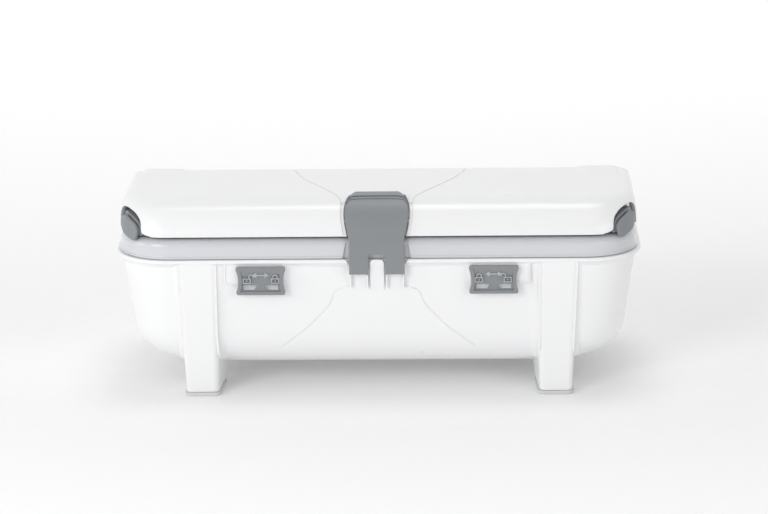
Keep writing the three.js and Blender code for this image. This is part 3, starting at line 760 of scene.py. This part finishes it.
def make_deck():
    outer = [(z, HALF_WIDTH - d, d - 1 - HALF_DEPTH, HALF_DEPTH + 1 - d, DECK_CORNER - c)
             for z, d, c in refined(DECK_ROWS, 3)]
    inner = [(110.3, HALF_WIDTH - 5.4, 4.4 - HALF_DEPTH, HALF_DEPTH - 4.4, 38.4),
             (119.0, HALF_WIDTH - 6.1, 5.1 - HALF_DEPTH, HALF_DEPTH - 5.1, 37.7),
             (122.4, HALF_WIDTH - 7.4, 6.4 - HALF_DEPTH, HALF_DEPTH - 6.4, 36.4)]
    body = cut(loft(shell_rows(outer)), loft(shell_rows(inner)))
    opening = [(z, CRADLE_OUTER + d, -53 - d, 62 + d, 8 + d)
               for z, d in ((110, 0), (124.6, 0), (125.6, 0.25), (126.2, 0.8), (126.6, 1.6), (140, 8))]
    cut(body, loft(shell_rows(opening)))
    skirt = cut(skirt_body(99, 124), skirt_body(98, 125, 2))
    outline = [(-34, 124)] + bezier((-34, 74), (-32, 62), (-22, 57), (-6, 57))
    outline += bezier((22, 57), (38, 57), (48, 62), (50, 74)) + [(50, 124)]
    cradle = prism(outline, CRADLE_INNER, CRADLE_OUTER + 0.4, ALONG_X)
    lip = block(-CRADLE_OUTER, CRADLE_OUTER, -55.2, -52.8, 116, 124)
    tongue = join(block(64, 70, -79.2, -77, 90, 101), block(64, 76, -79.2, -77, 90, CLAW_LOW - 0.5))
    recess_wall = cut(hinge_recess(2, 2, RIM_TOP + 0.5, 125.6), block(-300, 300, 84, 100, 0, 200))
    join(body, skirt, lip, *both_sides(cradle, tongue, recess_wall))
    grip_groove = block(-152, 152, -64.3, -57.7, DECK_TOP - 1.5, DECK_TOP + 2)
    blade_groove = block(-158, 158, BLADE_Y - 1.6, BLADE_Y + 1.6, DECK_TOP - 1.3, DECK_TOP + 2)
    flat = prism([(-22.6, 128), (-26.6, 110), (26.6, 110), (22.6, 128)], -95, -84.0, ALONG_Y)
    ends = both_sides(hinge_recess(0, 0, RIM_TOP - 2.4, 140), spindle_slot())
    cut(body, grip_groove, blade_groove, flat, *ends)
    finish_piece(body, "deck", "base", DECK_GREY, ["deck_frame"])


def make_grip_strip():
    """A ribbed strip that holds the free end of the film."""
    low, high = DECK_TOP - 1.2, DECK_TOP + 0.4
    front, width, ridges = -64.0, 6.0, 5
    section = [(front, low)]
    for i in range(ridges):
        start = front + width * i / ridges
        section += [(start + 0.1, high - 0.5), (start + 0.4, high - 0.05), (start + 0.6, high),
                    (start + 0.8, high - 0.05), (start + 1.1, high - 0.5)]
    section.append((front + width, low))
    strip = prism(section, -151.6, 151.6, ALONG_X)
    finish_piece(strip, "grip_strip", "base", RUBBER, ["film_grip_strip"], 50)


def make_hinge_pin(side, place):
    profile = [(0, -16.6), (2.2, -16.6), (2.75, -16.3), (3.0, -15.8), (3.0, -14.7), (2.7, -14.4),
               (1.8, -14.3), (1.8, 14.2), (1.5, 14.6), (0, 14.6)]
    profile = [(r, side * (HINGE_X + x)) for r, x in profile]
    pin = turned(profile, (0, HINGE_Y, HINGE_Z), sides=40)
    finish_piece(pin, f"hinge_rod_{place}", "base", STEEL, [f"hinge_pin_{place}"])


# ---- lid ----
# Height, half width, front, rear, and the radius of the front and rear corners.
LID_ROWS = (
    (LID_EDGE, 199.4, -85.0, 85.0, 38.0, 38.0), (132.6, 199.4, -84.2, 78.0, 38.0, 32.0),
    (137.4, 199.3, -82.1, 69.0, 37.5, 26.0), (142.8, 199.0, -78.8, 58.6, 36.5, 20.0),
    (147.4, 198.2, -74.4, 48.4, 35.0, 15.0), (150.4, 196.6, -69.2, 40.6, 33.0, 11.0),
    (152.2, 193.8, -62.0, 34.4, 29.0, 8.0), (152.8, 189.6, -54.0, 29.0, 24.0, 5.0),
)
LID_LINE = ((-68, 28), (-62, 8), (-55.7, -6.9), (-43.7, -27.9), (-34, -47), (-29.4, -58),
            (-27.8, -66), (-27.6, -70))
RECESS_IN, RECESS_DOWN, RECESS_FLOOR, RECESS_BACK = 1.6, 5.3, 1.4, -50.2
NOTCH = (
    (17.5, 127), (17, 128.9), (13.6, 129.6), (10.2, 131), (8.8, 133.6), (7.6, 137.2), (4.8, 141),
    (-0.4, 144.2), (-6.4, 146), (-13, 146.8), (-19, 146), (-23, 142), (-24, 134), (-23.4, 127), (17.5, 127),
)
PADDLE = (
    (5.4, 127.2), (6.3, 131.4), (5.2, 135), (2.2, 137.8), (-3, 139.9), (-8, 141.6), (-12.2, 141.6),
    (-15.6, 139), (-16.4, 135.2), (-14.6, 131), (-10.6, 128.2), (-5, 126.5), (-0.5, 125.2), (2.4, 124.6),
    (4.4, 125.2), (5.4, 127.2),
)
PADDLE_BACK = (
    (7.4, 128), (7.4, 132.4), (6, 135.6), (3.2, 138.6), (-2, 141.2), (-9, 143), (-15.6, 143.4),
    (-20.4, 141.4), (-22, 137), (-22, 130), (-21, 128), (7.4, 128),
)


def lid_body(back=0.0, down=0.0):
    rows = [(z - down, x, front + back, rear + back, radius, rear_radius)
            for z, x, front, rear, radius, rear_radius in refined(LID_ROWS, 5)]
    return loft(shell_rows(rows))


def latch_outline(margin=0.0, tabs=False):
    """The latch's outline seen square on, grown by a margin; with tabs, the gap between them is open."""
    neck, head, top = 21.2 + margin, 24.3 + margin, 62.2 + margin
    right = [(neck, 25.0)]
    right += bezier((neck, 25), (neck + 1.4, 31), (head, 38), (head, 45))
    right += bezier((head, 45), (head, 53.5), (head - 3.7, top), (head - 10.8, top))
    left = [(-u, v) for u, v in reversed(right)]
    if not tabs:
        return [(neck, -60)] + right + left + [(-neck, -60)]
    inner, notch = TAB_INNER, 12.8
    arch = [(inner, notch - 2)]
    arch += bezier(arch[0], (inner, notch - 0.6), (inner - 0.8, notch), (inner - 2, notch), 5)
    gap = [(-inner, -60)] + [(-u, v) for u, v in arch] + arch[::-1] + [(inner, -60)]
    return gap + [(neck, -60)] + right + left + [(-neck, -60)]


def latch_prism(outline):
    return prism(outline, -100, 100, ALONG_LATCH, (0, 0, 75))


def corner_prism(outline, near, far):
    return prism(outline, near, far, ALONG_CORNER, CORNER_CENTRE)


def closed_spline(points):
    """A smooth loop: the last of the points repeats the first."""
    return spline(points)[:-1]


def lid_cavity():
    inner = [(z - WALL, x - WALL, front + WALL, rear - WALL, radius - WALL, rear_radius - WALL)
             for z, x, front, rear, radius, rear_radius in LID_ROWS]
    rows = refined(inner, 4)
    rows.insert(0, (LID_EDGE - 5, *rows[0][1:]))
    return loft(shell_rows(rows))


def raised_pads():
    """A low swelling over each hinge, blending into the lid at its front and sides."""
    rows = [(150.4, 0, 0, 0), (152.7, 0, 0, 0), (153.2, 2.6, 7, 0.2), (153.6, 5.4, 13, 0.7),
            (153.8, 8, 17, 1.4), (153.88, 10.6, 19.6, 2.2)]
    rings = [ring(z, 155.5 + d, 188.5 - d / 2, 8 + front, 35 - rear, 2.6, arc=6, long=8, short=6)
             for z, d, front, rear in refined(rows, 3)]
    return both_sides(loft(rings))


def lid_layer(depth):
    """The lid's outer skin, down to a depth, with air above it."""
    return cut(lid_body(-1.0, -1.0), lid_body(depth, depth))


def recess_plan(margin):
    """The recess seen from above: it ends just behind the latch's head, with wide round corners."""
    outline = rounded_outline(-27.2 - margin, 27.2 + margin, -120, RECESS_BACK + margin, 13 + margin, arc=12)
    return prism(outline, 100, 200, ALONG_Z)


def make_lid():
    body = cut(lid_body(), lid_cavity())
    surround = common(lid_body(), latch_prism(latch_outline(3.6)), recess_plan(2.6))
    cut(surround, lid_body(RECESS_IN + 1, RECESS_DOWN + RECESS_FLOOR))
    join(body, surround)
    hollow = cut(latch_prism(latch_outline(0.9)), lid_body(RECESS_IN, RECESS_DOWN))
    cut(hollow, block(-300, 300, -300, 300, -50, 100))
    cut(body, common(hollow, recess_plan(0.0)))
    cut(body, common(latch_prism(latch_outline(3.4)), lid_layer(0.5), block(-40, 40, -100, -68, 100, 160)))
    line = prism(stroke(spline(LID_LINE), 0.5), 140, 160, ALONG_Z)
    cut(body, *[common(one, lid_layer(0.25)) for one in both_sides(line)])
    lugs = block(HINGE_X - 15, HINGE_X + 15, 77.6, 100, 100, 131.2)
    below = block(-300, 300, -200, 200, 60, LID_EDGE)
    cut(body, *both_sides(corner_prism(closed_spline(NOTCH), 24, 60)), *both_sides(lugs), below)
    arm = block(HINGE_X - 6.8, HINGE_X + 6.8, 78.6, HINGE_Y + 2, HINGE_Z, 136)
    knuckle = join(rod(HINGE_RADIUS, HINGE_Y, HINGE_Z, HINGE_X - 6.8, HINGE_X + 6.8), arm)
    boss = prism(circle(4, SPRING_X, SPRING_Y), SPRING_HIGH + GAP, 150.8, ALONG_Z)
    rail = cut(block(-153, 153, -63.9, -60.7, 140.7, 150.8), block(-27.6, 27.6, -66, -58, 146, 160))
    join(body, *raised_pads(), *both_sides(knuckle, boss), rail)
    pivot = rod(0.97, PIVOT_Y, PIVOT_Z, -27.2, 27.2, 24)
    bore = rod(2.1, HINGE_Y, HINGE_Z, HINGE_X - 9, HINGE_X + 9)
    cut(body, pivot, *both_sides(bore))
    finish_piece(body, "lid", "lid", WHITE, ["lid_shell"])


# ---- latch ----
LATCH_FRONT = ((-90.4, 99.8), (-90.4, 108), (-90.3, 117), (-89, 128), (-86.6, 134.6), (-82.6, 141.6),
               (-78, 147.4), (-72, 152.1), (-64, 155.2), (-54.6, 156.3))
LATCH_BACK = ((-54.3, 154.2), (-63.4, 152.9), (-70.8, 150.1), (-76.2, 145.6), (-80.5, 140.2),
              (-84.2, 133.6), (-86.4, 127.4), (-87.9, 117), (-87.9, 108), (-87.6, 99.8))


def make_latch():
    front = spline(LATCH_FRONT)
    plate = prism(front + spline(LATCH_BACK), -26, 26, ALONG_X)
    common(plate, latch_prism(latch_outline(0, tabs=True)))
    knuckle = rod(2, PIVOT_Y, PIVOT_Z, 9, 19, 32)
    web = block(9, 19, PIVOT_Y - 4, PIVOT_Y, PIVOT_Z - 0.6, PIVOT_Z + 1.9)
    join(plate, *both_sides(knuckle, web))
    softened(plate, 0.36, 5)
    layer = prism([(y - 1, z + 1) for y, z in front] + [(y + 0.4, z - 0.5) for y, z in reversed(front)],
                  -30, 30, ALONG_X)
    for side_low, low, high, width in ((53.4, 56.2, 57.6, 0.8), (51.4, 54.4, 55.4, 0.4)):
        groove = [(-23, side_low), (-21, low), (-17, high - 0.3), (-12, high), (12, high), (17, high - 0.3),
                  (21, low), (23, side_low)]
        cut(plate, common(latch_prism(stroke(spline(groove, 4), width)), copied(layer)))
    bpy.data.objects.remove(layer)
    cut(plate, rod(1.15, PIVOT_Y, PIVOT_Z, -24, 24, 24))
    finish_piece(plate, "latch_handle", "latch", MID_GREY, ["latch_lever"], 60)


def make_latch_pin():
    profile = [(0, -27.1), (0.6, -27.1), (0.9, -26.7), (0.9, 26.7), (0.6, 27.1), (0, 27.1)]
    pin = turned(profile, (0, PIVOT_Y, PIVOT_Z), sides=32)
    finish_piece(pin, "latch_pin", "lid", STEEL, ["latch_pivot_pin"])


def helix(radius, turns, low, high):
    """Points of a helix round Z, with closer turns at its ends."""
    per_turn, closing = 28, 0.315
    points = []
    count = turns * per_turn
    for i in range(count + 1):
        t = i / count
        eased = t - math.sin(2 * math.pi * t) / (2 * math.pi) * closing
        angle = 2 * math.pi * turns * t
        points.append((radius * math.cos(angle), radius * math.sin(angle), low + (high - low) * eased))
    return points


def make_latch_spring():
    points = [(z, PIVOT_Y + x, PIVOT_Z + y) for x, y, z in helix(1.6, 11, -6.7, 6.7)]
    finish_piece(swept(points, 0.28, 8), "latch_coil", "lid", STEEL, ["latch_spring"], 60)


# ---- lock clips ----
def stroke(points, width):
    """The outline of a line of even width."""
    path = [np.array(p, float) for p in points]
    left, right = [], []
    for i, p in enumerate(path):
        along = path[min(i + 1, len(path) - 1)] - path[max(i - 1, 0)]
        along /= np.linalg.norm(along)
        across = np.array((-along[1], along[0])) * width / 2
        left.append(tuple(p + across))
        right.append(tuple(p - across))
    return left + right[::-1]


def padlock(u, v, opened):
    """A plain padlock symbol: a body and a shackle, swung clear when opened."""
    half, height, line, reach = 2.7, 3.4, 0.85, 1.7
    lines = [stroke([(u - half, y), (u + half, y)], line) for y in (v, v + height)]
    lines += [stroke([(x, v - line / 2), (x, v + height + line / 2)], line) for x in (u - half, u + half)]
    lines.append(stroke([(u, v + 1.0), (u, v + 2.4)], 0.9))
    swing, rise = (3.4, 0.4) if opened else (0.0, 0.0)
    middle = v + height + 1.2 + rise
    arch = [(u - swing - reach, v + height + 2.0 * rise)]
    arch += [(u - swing + reach * math.cos(a), middle + reach * math.sin(a))
             for a in (HALF_TURN * (1 - i / 12) for i in range(13))]
    arch.append((u - swing + reach, v + height))
    return lines + [stroke(arch, line)]


def double_arrow(u, v):
    heads = [[(u + s * 6.6, v), (u + s * 3.0, v + 2.3), (u + s * 3.0, v - 2.3)] for s in (-1, 1)]
    return [stroke([(u - 3.4, v), (u + 3.4, v)], 1.1), *heads]


def clip_plate(inset=0.0, front=-90.0, back=-86.8):
    half, waist, low, high = 19.0 - inset, 16.6 - inset, 84.0, 106.0
    middle = (low + high) / 2
    right = [(half - 1.6, low), (half - 0.5, low + 0.4), (half - 0.3, low + 2.5)]
    right += bezier((half - 0.3, low + 2.5), (waist, middle - 4), (waist, middle + 4), (half, high - 2.5))
    right += [(half - 0.3, high - 0.5), (half - 1.6, high)]
    outline = right + [(-u, v) for u, v in reversed(right)]
    return prism([(CLIP_X + u, v) for u, v in outline], front, back, ALONG_Y)


def make_clip(side, place):
    symbol_front = -89.6
    plate = clip_plate()
    slope = [(-92, 86.6), (-88.5, 86.6), (-88.3, 97), (-90.1, 106.5), (-92, 106.5)]
    hollow = common(prism(slope, CLIP_X - 19, CLIP_X + 19, ALONG_X), clip_plate(3.0, -95, -80))
    window = ((2.4, 91.4), (5.2, 87.5), (13.2, 87.5), (13.2, 91.4))
    windows = [prism([(CLIP_X + s * u, v) for u, v in window], -92, -84, ALONG_Y) for s in (-1, 1)]
    cut(plate, hollow, *windows)
    shank = block(CLIP_X - 14.8, CLIP_X - 4, -87.2, -78.1, CLAW_LOW, CLAW_HIGH)
    claw = block(CLIP_X - 18.4, CLIP_X - 4, -79.6, -78.1, CLAW_LOW, CLAW_HIGH)
    symbols = padlock(CLIP_X + 10.6, 93.4, True) + padlock(CLIP_X - 11.2, 93.4, False)
    symbols += double_arrow(CLIP_X, 99.6)
    join(plate, shank, claw)
    softened(plate, 0.28, 3)
    join(plate, *[prism(line, symbol_front, -88, ALONG_Y) for line in symbols])
    if side < 0:
        moved(plate, MIRROR_X)
    clip = finish_piece(plate, f"slide_clip_{place}", f"{place}_lock", MID_GREY,
                        [f"lock_clip_{place}"], 60)
    # The raised symbols' front faces take the paler grey: a painted highlight for the light they catch.
    clip.data.materials.append(SYMBOL_HIGHLIGHT_GREY)
    for face in clip.data.polygons:
        if abs(face.center.y - symbol_front * MM) < 0.01 * MM:
            face.material_index = 1


# ---- press bar ----
def paddle_skin(inset):
    rows = [(120, 202, -88, 88, 42), (134, 200.5, -86.4, 86.4, 40.5), (148, 199, -84.8, 84.8, 39)]
    return loft(shell_rows(rows, inset))


def make_press_bar():
    front, middle, back, bottom, top = -80.8, -77.9, -74.2, 127.6, 133.6
    section = [(back, bottom), (back, top), (middle, top), (front, bottom + 0.8), (front, bottom)]
    side = prism(section, 28.6, 160, ALONG_X)
    body = block(-30, 30, middle, back, bottom, top - 3)
    end_block = block(155.5, 168, -75, -58, 128.2, 135.8)
    neck = corner_prism([(12, 129.5), (12, 133.8), (-8, 137), (-8, 131)], 15, 31)
    stem = corner_prism([(5, 129.5), (5, 134), (-8, 137), (-8, 131)], 30, 40.4)
    paddle = common(corner_prism(closed_spline(PADDLE), 20, 60), cut(paddle_skin(0.0), paddle_skin(2.6)))
    paddle_back = common(corner_prism(closed_spline(PADDLE_BACK), 26, 60), paddle_skin(4.0))
    for u in (-13.0, -10.2, -7.4):
        cut(paddle_back, corner_prism([(u, 140.6), (u + 1.2, 140.6), (u + 1.2, 150), (u, 150)], 36.8, 60))
    join(body, *both_sides(side, end_block, neck, stem, paddle_back, paddle))
    softened(body, 0.42, 4)
    finish_piece(body, "clamp_bar", "press_bar_body", MID_GREY, ["press_bar"], 60)


def make_press_pad():
    low, high = DECK_TOP + GAP, 127.6 - GAP
    y0, y1 = -77.4, -74.7
    middle = (y0 + y1) / 2
    section = [(y0, high), (y0, low + 0.25), (y0 + 0.2, low), (middle - 0.3, low), (middle, low + 0.3),
               (middle + 0.3, low), (y1 - 0.2, low), (y1, low + 0.25), (y1, high)]
    pad = prism(section, -150, 150, ALONG_X)
    finish_piece(pad, "clamp_pad", "press_bar_body", RUBBER, ["press_pad"])


def make_press_spring(side, place):
    wire = 0.38
    points = [(side * SPRING_X + x, SPRING_Y + y, z)
              for x, y, z in helix(2.6 - wire, 6, SPRING_LOW + wire, SPRING_HIGH - wire)]
    coil = swept(points, wire, 10)
    finish_piece(coil, f"press_coil_{place}", "lid", STEEL, [f"press_spring_{place}"], 60)
    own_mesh(coil)


# ---- blade ----
def make_blade():
    """A serrated strip: each tooth is ground to a thin edge from both faces."""
    half, top, tip, root, pitch, thick = 152.0, 138.6, 127.2, 129.6, 8.0, 0.9
    edge = 0.12
    line = [(-half, root)]
    teeth = int(2 * half / pitch)
    for i in range(teeth):
        x = -half + pitch * i
        line += [(x + pitch / 2, tip), (x + pitch, root)]
    grind = 1.5
    rows = []
    for y, lift in ((-edge / 2, 0.0), (-thick / 2, grind), (-thick / 2, None), (thick / 2, None),
                    (thick / 2, grind), (edge / 2, 0.0)):
        rows.append([(x, BLADE_Y + y, top if lift is None else z + lift) for x, z in line])
    count = len(line)
    vertices = [p for row in rows for p in row]
    faces = []
    for r in range(len(rows)):
        a, b = r * count, ((r + 1) % len(rows)) * count
        faces += [(a + i, a + i + 1, b + i + 1, b + i) for i in range(count - 1)]
    starts = [r * count for r in range(len(rows))]
    faces += [tuple(starts), tuple(start + count - 1 for start in reversed(starts))]
    strip = mesh_object(vertices, faces)
    for x in (-120, -40, 40, 120):
        cut(strip, turned([(0, -76), (1.8, -76), (1.8, -68), (0, -68)], (x, 0, 135.2), "Y", 32))
    finish_piece(strip, "blade", "lid", BLADE_STEEL, ["cutting_blade"], 20)


# ---- film roll ----
ROLL_CENTRE = (0, ROLL_Y, ROLL_Z)


def make_roll():
    """Wound film whose layers wander a little at both ends."""
    inner, layers = 20.3, 12
    end_face = []
    for i in range(layers + 1):
        wander = 0.35 * abs(math.sin(i * 2.4)) if 0 < i < layers else 0.5
        end_face.append((inner + (ROLL_RADIUS - inner) * i / layers, ROLL_HALF - wander))
    profile = [(r, -x) for r, x in reversed(end_face)] + end_face
    roll = turned_ring(profile, ROLL_CENTRE, sides=144)
    finish_piece(roll, "wound_film_roll", "roll", FILM, ["film_roll"])


def make_core():
    profile = [(17.5, -150.2), (17.9, -150.6), (19.6, -150.6), (20.0, -150.2), (20.0, 150.2), (19.6, 150.6),
               (17.9, 150.6), (17.5, 150.2)]
    finish_piece(turned_ring(profile, ROLL_CENTRE), "core", "roll", CARD, ["core_tube"])


def make_plug(side, place):
    profile = [(0, 140.5), (12.5, 140.5), (14.5, 138), (16.6, 138), (17.0, 138.6), (17.2, 150.9),
               (23.6, 150.9), (24, 151.3), (24, 153.2), (23.6, 153.6), (20, 153.7), (19.2, 153.0),
               (12, 154.6), (9, 155.2), (6.4, 155.6), (SPINDLE_RADIUS, 156.4), (SPINDLE_RADIUS, 165.4),
               (5.1, 166.1), (4.4, 166.4), (0, 166.4)]
    plug = turned(profile, ROLL_CENTRE)
    fins = 6
    for i in range(fins):
        fin = prism([(-0.6, 9), (0.6, 9), (0.6, 22.5), (-0.6, 22.5)], 152.6, 154.4, ALONG_X)
        turn = Matrix.Rotation(2 * math.pi * i / fins, 4, "X")
        join(plug, moved(fin, Matrix.Translation(ROLL_CENTRE) @ turn))
    if side < 0:
        moved(plug, MIRROR_X)
    finish_piece(plug, f"end_plug_{place}", "roll", MID_GREY, [f"roll_plug_{place}"])


# ---- build ----
make_tub()
make_deck()
make_grip_strip()
make_lid()
make_latch()
make_latch_pin()
make_latch_spring()
make_press_bar()
make_press_pad()
make_blade()
make_roll()
make_core()
SIDES = (("left", -1), ("right", 1))
for end_name, end in (("front", -1), ("rear", 1)):
    for side_name, side in SIDES:
        make_foot(side, end, f"{end_name}_{side_name}")
for side_name, side in SIDES:
    make_hinge_pin(side, side_name)
    make_clip(side, side_name)
    make_press_spring(side, side_name)
    make_plug(side, side_name)
finish_node("blade_carrier", MID_GREY, 0.0003)
for number in range(1, 5):
    finish_node(f"blade_screw_{number}", STEEL)


# ---- stage ----
def make_floor():
    """A pale floor that turns up far behind into a wall; it glows with painted light, weakest next to the
    dispenser, so the shade under the dispenser stays darker.
    """
    half_width, front, turn, radius, height, steps = 6.0, -4.0, 1.6, 1.2, 5.0, 16
    profile = [(front, 0.0), (turn, 0.0)]
    for i in range(1, steps + 1):
        angle = RIGHT_ANGLE * i / steps
        profile.append((turn + radius * math.sin(angle), radius * (1 - math.cos(angle))))
    profile.append((turn + radius, height))
    vertices = [(x, y, z) for x in (-half_width, half_width) for y, z in profile]
    count = len(profile)
    faces = [(i, i + 1, count + i + 1, count + i) for i in range(count - 1)]
    mesh = bpy.data.meshes.new("floor")
    mesh.from_pydata(vertices, [], faces)
    floor = new_object("floor", mesh)
    mesh.polygons.foreach_set("use_smooth", [True] * len(mesh.polygons))
    shader = Shader("paper", (0.93, 0.93, 0.93), 0.9)
    fibre = shader.noise(60.0, 4.0)
    shader.color(shader.ramp(fibre, ((0.3, (0.925, 0.925, 0.925)), (0.7, (0.94, 0.94, 0.94)))))
    # Painted light: the floor glows, faintly near the dispenser and more strongly further off, which deepens
    # the shade beside and under it.
    shader.fixed(Emission_Color=(1, 1, 1, 1))
    parts = shader.node("ShaderNodeSeparateXYZ")
    shader.link(shader.place, parts.inputs["Vector"])
    away = shader.math("ABSOLUTE", parts.outputs["Y"])
    shader.link(shader.ranged(away, 0.05, 0.31, 0.1, 1.3), shader.surface.inputs["Emission Strength"])
    mesh.materials.append(shader.material)


def area_light(name, place, target, size, power):
    light = bpy.data.lights.new(name, "AREA")
    light.energy = power
    light.size = size
    obj = new_object(name, light)
    obj.location = place
    obj.rotation_euler = (Vector(target) - Vector(place)).to_track_quat("-Z", "Y").to_euler()


def make_lights():
    world = bpy.data.worlds.new("studio")
    world.use_nodes = True
    world.node_tree.nodes["Background"].inputs["Color"].default_value = (1, 1, 1, 1)
    world.node_tree.nodes["Background"].inputs["Strength"].default_value = 0.47
    bpy.context.scene.world = world
    area_light("key", (-1.3, -2.0, 1.0), (0, 0, 0.08), 1.0, 18.5)
    area_light("side", (-1.7, -0.5, 0.5), (-0.15, 0, 0.1), 0.7, 4.0)
    area_light("fill", (1.6, -2.0, 0.8), (0, 0, 0.08), 1.2, 9.0)
    area_light("top", (0.1, 0.2, 1.9), (0, 0, 0.1), 0.8, 6.5)


def make_camera():
    """Eye level a little above the dispenser, looking down at its front, slightly turned and rolled."""
    elevation, azimuth, roll_angle = 0.27821, 0.03058, -0.01491
    distance, target = 2.3171, Vector((0, 0, 0.075))
    level = math.cos(elevation)
    forward = Vector((-math.sin(azimuth) * level, math.cos(azimuth) * level, -math.sin(elevation)))
    right = Vector((math.cos(azimuth), math.sin(azimuth), 0))
    up = right.cross(forward)
    turned_right = right * math.cos(roll_angle) + up * math.sin(roll_angle)
    turned_up = up * math.cos(roll_angle) - right * math.sin(roll_angle)
    camera = bpy.data.cameras.new("camera")
    camera.sensor_width = 36.0
    camera.lens = 136.771875
    camera.shift_x = 0.00453125
    camera.shift_y = 0.021354167
    camera.clip_end = 50
    obj = new_object("camera", camera)
    rotation = Matrix((turned_right, turned_up, -forward)).transposed()
    obj.matrix_world = Matrix.Translation(target - forward * distance) @ rotation.to_4x4()
    bpy.context.scene.camera = obj


make_floor()
make_lights()
make_camera()
bpy.context.scene.view_settings.view_transform = "Standard"
